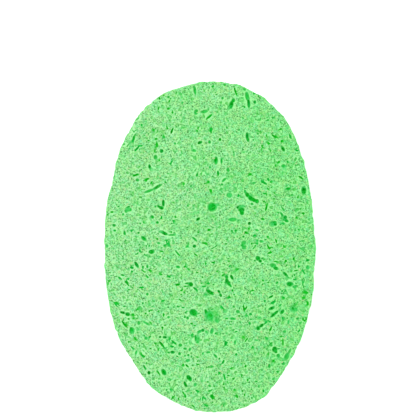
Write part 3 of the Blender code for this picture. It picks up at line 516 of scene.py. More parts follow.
# the cut round the edge runs a little in and out, and more so in the open cells
edge_only = np.clip((FLAT + 3.0) / 2.0, 0, 1)
VOLUME += (edge_only * (0.10 * flat_noise(1.5, 36) - 0.22))[:, :, None]
VOLUME += 0.09 * smooth_noise(2.3, 33) * edge_only[:, :, None]
VOLUME += 0.05 * smooth_noise(11.0, 34)
VOLUME = np.maximum(VOLUME, (np.abs(ZS - THICKNESS / 2) - THICKNESS / 2)[None, None, :])
# how strong the painted shade is of the pore that opens each place, and how wide it is (0 to 1)
SHADE_STRENGTH = np.zeros(VOLUME.shape, np.float32)
BROAD = np.zeros(VOLUME.shape, np.float32)


def cell_of(point):
    return tuple(int(min(max(round((point[k] - lows[k]) / STEPS[k]), 0), counts[k] - 1))
                 for k in range(3))


def hollow(place, out, along, length, width, depth, sink=0.0, soft=0.10, warp=1.0,
           tone=0.6, broad=0.0, bowl=False):
    """Take an uneven round hollow out of the volume.

    Its mouth is length by width on the surface, along the direction along, and
    it is depth deep, its middle sink under the surface. A bowl has sloping walls.
    """
    out = np.asarray(out, float)
    out /= np.linalg.norm(out)
    along = np.asarray(along, float) - out * np.dot(along, out)
    along /= np.linalg.norm(along)
    across = np.cross(out, along)
    tall = max(depth - sink, 0.2)
    mouth = math.sqrt(max(1 - (sink / tall) ** 2, 0.2))
    a, b = length / 2 / mouth, width / 2 / mouth
    middle = np.asarray(place, float) - out * sink
    reach = np.sqrt((along * a) ** 2 + (across * b) ** 2 + (out * tall) ** 2)
    reach += 0.45 * warp + STEPS
    first = np.floor((middle - reach - lows) / STEPS).astype(int)
    last = np.ceil((middle + reach - lows) / STEPS).astype(int) + 1
    first = np.clip(first, 0, counts)
    last = np.clip(last, 0, counts)
    if (last - first).min() <= 0:
        return
    box = tuple(slice(i, j) for i, j in zip(first, last))
    here = cell_of(middle)
    p = [XS[box[0]][:, None, None], YS[box[1]][None, :, None], ZS[box[2]][None, None, :]]
    p = [p[k] - np.float32(middle[k]) + warp * (WARP[k][box] - WARP[k][here])
         for k in range(3)]
    q = [(p[0] * axis[0] + p[1] * axis[1] + p[2] * axis[2]) / size
         for axis, size in ((along, a), (across, b), (out, tall))]
    ring = q[0] * q[0] + q[1] * q[1]
    if bowl:
        cut = (1 - ring - np.maximum(-q[2], 0)) * (0.6 * min(a, b, tall))
    else:
        cut = (1 - np.sqrt(ring + q[2] * q[2])) * min(a, b, tall)
    cut = cut.astype(np.float32)
    new = cut > np.maximum(VOLUME[box], 0) - 0.6 * STEP
    SHADE_STRENGTH[box] = np.where(new, np.float32(tone), SHADE_STRENGTH[box])
    BROAD[box] = np.where(new, np.float32(broad), BROAD[box])
    VOLUME[box] = smooth_max(VOLUME[box], cut, soft)


def side_pores_of(place, out, along, length, width, depth, gen, tone=1.0, bowl=False,
                  broad=1.0):
    """Small pores in the wall and floor of a large one."""
    out = np.asarray(out, float)
    along = np.asarray(along, float)
    across = np.cross(out, along)
    many = int(min(14, length * width * 0.9))
    for _ in range(many):
        turn = gen.uniform(0, 2 * math.pi)
        down = gen.uniform(0.6 if bowl else 0.35, 1.0)
        ring = 0.9 * math.sqrt(1 - down) if bowl else math.sqrt(max(1 - down * down, 0.05))
        spot = (np.asarray(place, float)
                + along * (length / 2 * ring * math.cos(turn))
                + across * (width / 2 * ring * math.sin(turn))
                - out * depth * down * 0.92)
        way = -out * down + along * ring * math.cos(turn) + across * ring * math.sin(turn)
        size = gen.uniform(0.55, 1.15)
        hollow(spot, -way, np.cross(way, (0.31, 0.52, 0.79)), size,
               size * gen.uniform(0.6, 1.0), size * gen.uniform(0.7, 1.1), soft=0.06,
               tone=tone, broad=broad)


UP = np.array((0.0, 0.0, 1.0))
gen = np.random.default_rng(73)


def leaning(out, most, g):
    """The way out of a pore, leaning off the surface's normal at random."""
    out = np.asarray(out, float)
    side = np.cross(out, (0.36, 0.48, 0.80))
    side /= np.linalg.norm(side)
    turn, lean = g.uniform(0, 2 * math.pi), math.radians(g.uniform(0, most))
    way = side * math.cos(turn) + np.cross(out, side) * math.sin(turn)
    return out * math.cos(lean) + way * math.sin(lean)


def top_pore(x, y, w, h, turn, depth, tone, broad, lean=20, grow=1.08, warp=0.7,
             bowl=False):
    spot = np.array((*grid_place(x, y), THICKNESS))
    a = math.radians(turn)
    along = np.array((math.cos(a), math.sin(a), 0.0))
    w, h = w * CELL * grow, h * CELL * grow
    hollow(spot, leaning(UP, lean, gen), along, w, h, depth, sink=0.05 * depth,
           soft=0.05 + 0.05 * min(w, h), warp=warp, tone=tone, broad=broad, bowl=bowl)
    if min(w, h) > 1.3 and depth > 1.4:
        side_pores_of(spot, UP, along, w, h, depth, gen, tone, bowl, broad)


def depth_tone(depth):
    """In a wide pore the tone says how deep it is where its painted shade has its full colour."""
    return min(max((depth - 0.5) / 1.5, 0.1), 1.0)


for x, y, w, h, turn, depth, *rest in WIDE_PORES:
    depth = 0.05 + 0.72 * depth
    colour = rest[0] if rest else 1.0
    top_pore(x, y, w, h, turn, depth, depth_tone(depth), colour, 6, 1.10, 0.35, True)
    if colour < 0.5:
        # the floor of a shallow dish is pitted all over
        for _ in range(int(w * h * 0.12)):
            r, way = math.sqrt(gen.random()) * 0.95, gen.uniform(0, 2 * math.pi)
            px, py = grid_place(x + r * w / 2 * math.cos(way), y + r * h / 2 * math.sin(way))
            size = gen.uniform(0.40, 0.62)
            lie = gen.uniform(0, math.pi)
            hollow((px, py, THICKNESS - depth * (1 - r * r)), leaning(UP, 20, gen),
                   (math.cos(lie), math.sin(lie), 0), size * gen.uniform(1.0, 1.6), size,
                   size * gen.uniform(0.8, 1.1), soft=0.05, warp=0.7,
                   tone=gen.uniform(0.4, 1.0))
# share of the width, least depth, tone and colour of the four classes; tone and colour set how strong a pore's painted
# shade is
DEEP = ((0.40, 0.28, 0.45, 0.40), (0.80, 0.60, 0.95, 0.85), (0.95, 0.80, 1.0, 0.95),
        (1.05, 0.95, 1.0, 1.0))
for x, y, w, h, dark in SPOTS:
    share, least, tone, colour = DEEP[dark]
    depth = max(least, share * min(w, h) * CELL)
    if min(w, h) >= 2.3:
        top_pore(x, y, w, h, gen.uniform(-14, 14), depth, depth_tone(depth), colour,
                 10, 1.15, 0.5, True)
    else:
        top_pore(x, y, w, h, gen.uniform(-14, 14), depth, tone, 0.0, grow=1.05)
for x1, y1, x2, y2, w, dark in SLITS:
    share, least, tone, colour = DEEP[dark]
    depth = max(least, share * 1.25 * w * CELL)
    row = ((x1 + x2) / 2, (y1 + y2) / 2, math.hypot(x2 - x1, y2 - y1) + 0.4, w,
           math.degrees(math.atan2(y1 - y2, x2 - x1)), depth)
    if w >= 2.3:
        top_pore(*row, depth_tone(depth), colour, 10, 1.12, 0.4, True)
    else:
        top_pore(*row, tone, 0.0, grow=1.0)


# ------------------------------------------------------------ the fine pores
LIE = flat_noise(16.0, 51) * 0.9 + 0.9          # which way the fine slits lie
CLOSED = flat_noise(7.0, 52)                    # where the face is closed
for x, y, r in SMOOTH:
    cx, cy = grid_place(x, y)
    r = r * CELL
    CLOSED += 3.0 * np.exp(-(((XS[:, None] - cx) ** 2 + (YS[None, :] - cy) ** 2)
                             / (r * r)) ** 2)


def hexagons(width, height, gap, seed):
    """Evenly scattered points in a rectangle, each shaken a little."""
    g = np.random.default_rng(seed)
    rows = int(height / (gap * 0.866)) + 2
    cols = int(width / gap) + 2
    x = (np.arange(cols)[:, None] + 0.5 * (np.arange(rows)[None, :] % 2)) * gap
    y = np.broadcast_to(np.arange(rows)[None, :] * gap * 0.866, x.shape)
    x = x + g.normal(0, 0.22 * gap, x.shape)
    y = y + g.normal(0, 0.22 * gap, x.shape)
    return np.column_stack([x.ravel(), y.ravel()]), g


def fine_size(g):
    """Width, length and depth of one fine pore."""
    w = 0.36 + 0.20 * g.random() ** 2.0
    stretch = 1.0 + 1.6 * g.random() ** 1.5
    return w, w * stretch, w * g.uniform(0.80, 1.2)


made = {"top": 0, "bottom": 0, "side": 0}
GAP = 1.75
for side, z, out in (("top", THICKNESS, UP), ("bottom", 0.0, -UP)):
    spots, g = hexagons(WIDTH + 2, LENGTH + 2, GAP if side == "top" else GAP * 1.12,
                        61 if side == "top" else 62)
    spots -= np.array((WIDTH / 2 + 1, LENGTH / 2 + 1))
    layer = int(round((THICKNESS - 0.3 - lows[2]) / STEPS[2])) if z else 0
    near_wide = BROAD[:, :, layer] > 0.3
    for _ in range(3):
        for axis in (0, 1):
            near_wide = (near_wide | np.roll(near_wide, 1, axis)
                         | np.roll(near_wide, -1, axis))
    for x, y in spots:
        i, j, _ = cell_of((x, y, 0))
        if FLAT[i, j] > -0.25 or near_wide[i, j]:
            continue
        closed = CLOSED[i, j] if side == "top" else CLOSED[-1 - i, j]
        w, l, d = fine_size(g)
        if closed > 1.6:
            if g.random() < 0.3:
                continue
            w, l, d = w * 0.85, l * 0.85, d * 0.75
        turn = LIE[i, j] + g.normal(0, 0.7)
        hollow((x, y, z), leaning(out, 30, g), (math.cos(turn), math.sin(turn), 0),
               l, w, d, soft=0.05, warp=0.8, tone=g.uniform(0.1, 0.65))
        made[side] += 1

RUN = np.concatenate([[0], np.cumsum(EDGE_LENGTH)])


def on_edge(s):
    """Point of the outline at a run s mm round it, and the way out there."""
    k = int(np.searchsorted(RUN, s % PERIMETER, side="right") - 1)
    k = min(k, len(OUTLINE) - 1)
    t = (s % PERIMETER - RUN[k]) / EDGE_LENGTH[k]
    p = OUTLINE[k] + EDGE[k] * t
    e = EDGE[k] / EDGE_LENGTH[k]
    return p, np.array((e[0], e[1], 0.0)), np.array((e[1], -e[0], 0.0))


spots, g = hexagons(PERIMETER, THICKNESS - 0.6, GAP * 1.12, 63)
for s, z in spots:
    if not 0 <= s < PERIMETER or not 0.3 < z < THICKNESS - 0.3:
        continue
    p, edge, out = on_edge(s)
    w, l, d = fine_size(g)
    turn = g.normal(0.3, 0.8)
    hollow((p[0], p[1], z), out, edge * math.cos(turn) + UP * math.sin(turn), l, w, d,
           soft=0.05, warp=0.7, tone=g.uniform(0.45, 0.95))
    made["side"] += 1


# ---------------------------------------- larger pores of the sides and bottom
def scattered_sizes(g):
    """Length, width and depth of one of the many middling pores."""
    w = 0.75 + 1.35 * g.random() ** 3.2
    return w * (1 + 1.4 * g.random() ** 2), w, w * g.uniform(0.7, 1.3)


g = np.random.default_rng(88)
count = 0
while count < 420:
    x, y = g.uniform(-WIDTH / 2, WIDTH / 2), g.uniform(-LENGTH / 2, LENGTH / 2)
    i, j, _ = cell_of((x, y, 0))
    if FLAT[i, j] > -0.8:
        continue
    l, w, d = scattered_sizes(g)
    turn = g.uniform(0, math.pi)
    hollow((x, y, 0), -UP, (math.cos(turn), math.sin(turn), 0), l, w, d, sink=0.1 * d,
           tone=g.uniform(0.6, 1.0), broad=min(max((w - 1.0) / 1.2, 0.0), 1.0))
    count += 1
for _ in range(520):
    p, edge, out = on_edge(g.uniform(0, PERIMETER))
    z = g.uniform(0.8, THICKNESS - 0.8)
    l, w, d = scattered_sizes(g)
    turn = g.uniform(0, math.pi)
    hollow((p[0], p[1], z), out, edge * math.cos(turn) + UP * math.sin(turn),
           l, w, d, sink=0.1 * d, tone=g.uniform(0.6, 1.0),
           broad=min(max((w - 1.0) / 1.2, 0.0), 1.0))


# and the large ones that the CAD has there
def cad_pores():
    points = even(OUTLINE, OUTLINE_POINTS)
    walk = random.Random(PORE_SEED)
    placed, tries = [], 0
    rows = []
    while len(placed) < BOTTOM_PORES and tries < 20000:
        tries += 1
        spot = np.array((walk.uniform(-1, 1) * HALF_WIDTH,
                         walk.uniform(-1, 1) * (BLUNT_REACH + NARROW_REACH) / 2))
        length = walk.uniform(1.7, 3.6) * (1.5 if walk.random() < 0.12 else 1)
        if np.hypot(*spot) < REST_POINT_CLEAR:
            continue
        if edge_distance(spot[:1], spot[1:])[0] > -3.2:
            continue
        if any(np.hypot(*(spot - other)) < (length + size) / 2 + 1.6
               for other, size in placed):
            continue
        a = walk.uniform(0, math.pi)
        rows.append(((spot[0], spot[1], 0.0), -UP, (math.cos(a), math.sin(a), 0),
                     length, length * walk.uniform(0.5, 0.9),
                     length * walk.uniform(0.6, 0.9)))
        placed.append((spot, length))
    golden = (math.sqrt(5) - 1) / 2
    for i in range(SIDE_PORES):
        k = int((i * golden % 1.0) * OUTLINE_POINTS)
        a, b = points[k], points[(k + 1) % OUTLINE_POINTS]
        edge = (b - a) / np.hypot(*(b - a))
        height = THICKNESS * (0.16 + 0.68 * (i + 0.5) / SIDE_PORES)
        middle = (a + b) / 2
        length = walk.uniform(1.8, 3.8)
        tilt = walk.uniform(-1.2, 1.2)
        rows.append(((middle[0], middle[1], height), (edge[1], -edge[0], 0.0),
                     np.array((edge[0], edge[1], 0)) * math.cos(tilt)
                     + UP * math.sin(tilt),
                     length, length * walk.uniform(0.5, 0.85),
                     length * walk.uniform(0.6, 0.9)))
    return rows, placed


CAD_ROWS, BOTTOM_PLACED = cad_pores()
for place, out, along, length, width, depth in CAD_ROWS:
    hollow(place, out, along, length, width, depth, sink=0.2 * depth, tone=1.0, broad=1.0)
    along = np.asarray(along, float) / np.linalg.norm(along)
    side_pores_of(place, out, along, length, width, depth, gen)
print("fine pores:", made)


# --------------------------------------------------------- the block as a mesh
def settle(field):
    """Fill where two bodies of foam would touch only along an edge or at a corner.

    After it the surface is a clean one, with two faces at every edge.
    """
    spots = np.array([(i, j, k) for i in (0, 1) for j in (0, 1) for k in (0, 1)])
    code = {tuple(s): n for n, s in enumerate(spots)}
    sides = []
    for axis in range(3):
        for at in (0, 1):
            ring = []
            for u, v in ((0, 0), (1, 0), (1, 1), (0, 1)):
                spot = [u, v]
                spot.insert(axis, at)
                ring.append(code[tuple(spot)])
            sides.append(ring)
    opposite = [(n, 7 - n) for n in range(4)]
    shape = np.array(field.shape)
    strides = np.array((shape[1] * shape[2], shape[2], 1))
    flat = field.reshape(-1)
    offsets = spots @ strides
    for _ in range(30):
        inside = field < 0
        count = np.zeros(shape - 1, np.uint8)
        for i, j, k in spots:
            count += inside[i:shape[0] - 1 + i, j:shape[1] - 1 + j, k:shape[2] - 1 + k]
        cells = np.stack(np.nonzero((count > 1) & (count < 7)), axis=1) @ strides
        at = cells[:, None] + offsets[None, :]
        value = flat[at]
        full = value < 0
        fill = []
        for ring in sides:
            bad = ((full[:, ring[0]] == full[:, ring[2]])
                   & (full[:, ring[1]] == full[:, ring[3]])
                   & (full[:, ring[0]] != full[:, ring[1]]))
            v = np.where(full[bad][:, ring], np.inf, value[bad][:, ring])
            fill.append(at[bad, np.array(ring)[v.argmin(1)]])
        total = full.sum(1)
        for a, b in opposite:
            alone = (total == 2) & full[:, a] & full[:, b]
            alone |= (total == 6) & ~full[:, a] & ~full[:, b]
            v = np.where(full[alone], np.inf, value[alone])
            fill.append(at[alone, v.argmin(1)])
        fill = np.unique(np.concatenate(fill))
        if not len(fill):
            break
        flat[fill] = -0.04
    print("settled, rounds:", _, "left:", len(fill))


def surface_net(field):
    """Closed quad mesh of the zero surface of a field that is negative inside.

    Returns the points in grid steps and the quads.
    """
    inside = field < 0
    n = np.array(field.shape)
    count = np.zeros(n - 1, np.uint8)
    for i in (0, 1):
        for j in (0, 1):
            for k in (0, 1):
                count += inside[i:n[0] - 1 + i, j:n[1] - 1 + j, k:n[2] - 1 + k]
    active = np.flatnonzero((count > 0) & (count < 8))
    number = np.full(count.size, -1, np.int32)
    number[active] = np.arange(len(active), dtype=np.int32)
    number = number.reshape(count.shape)
    base = np.stack(np.unravel_index(active, count.shape), axis=1)
    corner = {}
    for i in (0, 1):
        for j in (0, 1):
            for k in (0, 1):
                corner[i, j, k] = field[base[:, 0] + i, base[:, 1] + j, base[:, 2] + k]
    place = np.zeros((len(active), 3), np.float32)
    hits = np.zeros(len(active), np.float32)
    for a in corner:
        for axis in range(3):
            if a[axis]:
                continue
            b = tuple(1 if m == axis else a[m] for m in range(3))
            va, vb = corner[a], corner[b]
            cross = (va < 0) != (vb < 0)
            t = np.where(cross, va / np.where(cross, va - vb, 1), 0)
            for m in range(3):
                place[:, m] += cross * (a[m] + (t if m == axis else 0))
            hits += cross
    place = place / hits[:, None] + base
    quads = []
    for axis in range(3):
        u, v = (axis + 1) % 3, (axis + 2) % 3
        low = [slice(1, -1)] * 3
        low[axis] = slice(0, -1)
        high = list(low)
        high[axis] = slice(1, None)
        a, b = inside[tuple(low)], inside[tuple(high)]
        change = np.flatnonzero(a != b)
        where = np.stack(np.unravel_index(change, a.shape), axis=1)
        for m in range(3):
            if m != axis:
                where[:, m] += 1
        faces_out = a.ravel()[change]
        ring = []
        for du, dv in ((-1, -1), (0, -1), (0, 0), (-1, 0)):
            q = where.copy()
            q[:, u] += du
            q[:, v] += dv
            ring.append(number[q[:, 0], q[:, 1], q[:, 2]])
        ring = np.stack(ring, axis=1)
        ring[~faces_out] = ring[~faces_out][:, ::-1]
        quads.append(ring)
    return place, np.concatenate(quads)


def largest_piece(points, faces):
    """Only the largest connected part of a mesh."""
    label = np.arange(len(points))
    ends = np.concatenate([faces[:, [0, 1]], faces[:, [1, 2]], faces[:, [2, 3]]])
    while True:
        a, b = label[ends[:, 0]], label[ends[:, 1]]
        low = np.minimum(a, b)
        new = label.copy()
        np.minimum.at(new, a, low)
        np.minimum.at(new, b, low)
        while True:
            jump = new[new]
            if (jump == new).all():
                break
            new = jump
        if (new == label).all():
            break
        label = new
    names, sizes = np.unique(label, return_counts=True)
    keep = label == names[sizes.argmax()]
    renumber = np.cumsum(keep) - 1
    good = faces[keep[faces[:, 0]]]
    print("islands dropped:", len(names) - 1, "of", len(points), "points",
          int((~keep).sum()))
    return points[keep], renumber[good]


def new_mesh(name, points, faces):
    mesh = bpy.data.meshes.new(name)
    mesh.vertices.add(len(points))
    mesh.vertices.foreach_set("co", np.ascontiguousarray(points, np.float32).ravel())
    sides = faces.shape[1]
    mesh.loops.add(faces.size)
    mesh.loops.foreach_set("vertex_index", faces.astype(np.int32).ravel())
    mesh.polygons.add(len(faces))
    mesh.polygons.foreach_set(
        "loop_start", np.arange(0, faces.size, sides, dtype=np.int32))
    mesh.update(calc_edges=True)
    return mesh


def sample(field, points):
    """Values of a grid field at points in mm."""
    at = (points - lows) / STEPS
    cell = np.clip(np.floor(at).astype(int), 0, np.array(counts) - 2)
    t = np.clip(at - cell, 0, 1)
    total = np.zeros(len(points))
    for i in (0, 1):
        for j in (0, 1):
            for k in (0, 1):
                w = ((t[:, 0] if i else 1 - t[:, 0]) * (t[:, 1] if j else 1 - t[:, 1])
                     * (t[:, 2] if k else 1 - t[:, 2]))
                total += w * field[cell[:, 0] + i, cell[:, 1] + j, cell[:, 2] + k]
    return total


def box_blur(field, size):
    """Mean over a box that reaches size mm to each side."""
    for axis in range(3):
        radius = max(1, round(size / STEPS[axis]))
        pad = [(0, 0)] * 3
        pad[axis] = (radius + 1, radius)
        run = np.cumsum(np.pad(field, pad, mode="edge"), axis=axis, dtype=np.float32)
        long = field.shape[axis]
        high = [slice(None)] * 3
        high[axis] = slice(2 * radius + 1, 2 * radius + 1 + long)
        low = [slice(None)] * 3
        low[axis] = slice(0, long)
        field = (run[tuple(high)] - run[tuple(low)]) / (2 * radius + 1)
    return field


settle(VOLUME)
points, faces = surface_net(VOLUME)
points, faces = largest_piece(points, faces)
points = points * STEPS + lows
print("surface net:", len(points), "points,", len(faces), "quads")

raw = new_mesh("foam_raw", points, faces)
holder = bpy.data.objects.new("foam_raw", raw)
bpy.context.scene.collection.objects.link(holder)
# the face that is seen most keeps the finest mesh
group = holder.vertex_groups.new(name="coarser")
upper = points[:, 2] > THICKNESS - 3.2
group.add(np.flatnonzero(~upper).tolist(), 1.0, "REPLACE")
group.add(np.flatnonzero(upper).tolist(), 0.5, "REPLACE")
fewer = holder.modifiers.new("fewer", "DECIMATE")
fewer.ratio = min(1.0, TRIANGLES / (2 * len(faces)))
fewer.vertex_group = "coarser"
fewer.vertex_group_factor = FAVOUR
graph = bpy.context.evaluated_depsgraph_get()
foam_mesh = bpy.data.meshes.new_from_object(holder.evaluated_get(graph))
bpy.data.objects.remove(holder)
bpy.data.meshes.remove(raw)
foam_mesh.name = "foam_block"

count = len(foam_mesh.vertices)
place = np.empty(count * 3, np.float32)
foam_mesh.vertices.foreach_get("co", place)
place = place.reshape(-1, 3).astype(np.float64)
print("foam mesh:", count, "points,", len(foam_mesh.polygons), "faces")

# how deep each point lies under the cut surface, and how hollow it is there
depth = np.maximum(-sample(SLAB, place), 0)
solid = np.clip(0.5 - VOLUME / STEP, 0, 1).astype(np.float32)
whole = np.clip(0.5 - SLAB / STEP, 0, 1).astype(np.float32)
near = (sample(box_blur(solid, 0.62), place)
        - np.minimum(sample(box_blur(whole, 0.62), place), 0.5))
del solid, whole


def widened(field):
    """The field with each value spread one step to all sides, then softened."""
    for axis in range(3):
        field = np.maximum(field, np.maximum(np.roll(field, 1, axis), np.roll(field, -1, axis)))
    return box_blur(field, 0.2)


tone, broad = (sample(widened(field), place) for field in (SHADE_STRENGTH, BROAD))


def attribute(mesh, name, values):
    layer = mesh.attributes.new(name, "FLOAT", "POINT")
    layer.data.foreach_set("value", np.ascontiguousarray(values, np.float32))


attribute(foam_mesh, "under", depth)
attribute(foam_mesh, "hollow", near)
attribute(foam_mesh, "tone", tone)
attribute(foam_mesh, "broad", broad)
dye = np.zeros(len(place))
for x, y, wide, high, much in DYE:
    cx, cy = grid_place(x, y)
    dye += much * np.exp(-((place[:, 0] - cx) / (wide * CELL)) ** 2
                         - ((place[:, 1] - cy) / (high * CELL)) ** 2)
attribute(foam_mesh, "dye", dye)


# ------------------------------------------------------------------ the UV map
def unwrap(mesh, place):
    """Top and bottom side by side, the band round the edge in two rows below."""
    tris = np.empty(len(mesh.loops), np.int32)
    mesh.loops.foreach_get("vertex_index", tris)
    starts = np.empty(len(mesh.polygons), np.int32)
    totals = np.empty(len(mesh.polygons), np.int32)
    mesh.polygons.foreach_get("loop_start", starts)
    mesh.polygons.foreach_get("loop_total", totals)
    middle = np.add.reduceat(place[tris], starts, axis=0) / totals[:, None]
    run_out = sample(FLAT_3D, np.column_stack([middle[:, :2], np.zeros(len(middle))]))
    from_top = THICKNESS - middle[:, 2]
    from_bottom = middle[:, 2]
    from_side = -run_out
    chart = np.argmin(np.stack([from_top, from_bottom, from_side * 1.0]), axis=0)
    chart = np.where((chart == 2) & (from_side > 6), 2, chart)
    fit = 0.478 / WIDTH
    turn = np.arctan2(OUTLINE[:, 1], OUTLINE[:, 0])
    order = np.argsort(turn)
    run = RUN[:-1][order]
    turn = turn[order]
    lift = np.unwrap(run * 2 * math.pi / PERIMETER) * PERIMETER / (2 * math.pi)
    uv = np.zeros((len(tris), 2))
    of_face = np.repeat(np.arange(len(starts)), totals)
    p = place[tris]
    which = chart[of_face]
    for number, x0, flip in ((0, 0.010, 1), (1, 0.510, -1)):
        m = which == number
        uv[m, 0] = x0 + (flip * p[m, 0] + WIDTH / 2 + 0.3) * fit
        uv[m, 1] = 0.245 + (p[m, 1] + LENGTH / 2 + 0.3) * fit
    m = which == 2
    extended_turn = np.concatenate([turn - 2 * math.pi, turn, turn + 2 * math.pi])
    extended_run = np.concatenate([lift - PERIMETER, lift, lift + PERIMETER])
    c_turn = np.arctan2(middle[:, 1], middle[:, 0])
    c_run = np.interp(c_turn, extended_turn, extended_run)
    v_turn = np.arctan2(p[m, 1], p[m, 0])
    v_run = np.interp(v_turn, extended_turn, extended_run)
    home = c_run[of_face[m]]
    v_run = v_run + PERIMETER * np.round((home - v_run) / PERIMETER)
    start = lift[0]
    half = PERIMETER / 2
    row = (home - start) > half
    scale = 0.97 / half
    uv[m, 0] = 0.012 + (v_run - start - row * half) * scale
    uv[m, 1] = 0.012 + p[m, 2] * scale + row * 0.117
    names = mesh.uv_layers.new(name="OFBake")
    uv = np.clip(uv, 0.001, 0.999)
    names.data.foreach_set("uv", uv.astype(np.float32).ravel())
    return chart


FLAT_3D = np.repeat(FLAT[:, :, None], 2, axis=2)
old_counts = counts
counts = [counts[0], counts[1], 2]
chart = unwrap(foam_mesh, place)
counts = old_counts

foam_mesh.vertices.foreach_set("co", (place * 0.001).astype(np.float32).ravel())
foam_mesh.update()
foam_mesh.shade_smooth()
foam = bpy.data.objects.new("foam_block", foam_mesh)
bpy.context.scene.collection.objects.link(foam)
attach(foam, "root")
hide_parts("foam_body")


# ------------------------------------------------------------------- materials
class Nodes:
    """A short way to write a node tree."""

    def __init__(self, name):
        self.mat = bpy.data.materials.new(name)
        self.mat.use_nodes = True
        self.tree = self.mat.node_tree
        self.shader = self.tree.nodes["Principled BSDF"]

    def add(self, kind, **values):
        node = self.tree.nodes.new(kind)
        for key, value in values.items():
            setattr(node, key, value)
        return node

    def link(self, a, b):
        self.tree.links.new(a, b)

    def put(self, socket, value):
        if hasattr(value, "is_output"):
            self.link(value, socket)
        else:
            socket.default_value = value

    def math(self, what, a, b=0.0, c=0.0, clamp=False):
        node = self.add("ShaderNodeMath", operation=what, use_clamp=clamp)
        for socket, value in zip(node.inputs, (a, b, c)):
            self.put(socket, value)
        return node.outputs[0]

    def ramp(self, value, low, high, out_low=0.0, out_high=1.0, smooth=True):
        node = self.add("ShaderNodeMapRange",
                        interpolation_type="SMOOTHSTEP" if smooth else "LINEAR")
        for socket, v in zip(node.inputs, (value, low, high, out_low, out_high)):
            self.put(socket, v)
        return node.outputs[0]

    def mix(self, share, a, b, blend="MIX"):
        node = self.add("ShaderNodeMix", data_type="RGBA", blend_type=blend)
        self.put(node.inputs[0], share)
        self.put(node.inputs[6], a)
        self.put(node.inputs[7], b)
        return node.outputs[2]

    def noise(self, where, scale, detail=2.0, roughness=0.5, distortion=0.0):
        node = self.add("ShaderNodeTexNoise", noise_dimensions="3D")
        self.put(node.inputs["Vector"], where)
        self.put(node.inputs["Scale"], scale)
        self.put(node.inputs["Detail"], detail)
        self.put(node.inputs["Roughness"], roughness)
        self.put(node.inputs["Distortion"], distortion)
        return node.outputs[0]

    def stretched(self, where, size, turn=(0, 0, 0)):
        node = self.add("ShaderNodeMapping", vector_type="POINT")
        self.put(node.inputs["Vector"], where)
        node.inputs["Scale"].default_value = size
        node.inputs["Rotation"].default_value = turn
        return node.outputs[0]

    def named(self, name):
        return self.add("ShaderNodeAttribute", attribute_name=name).outputs["Fac"]


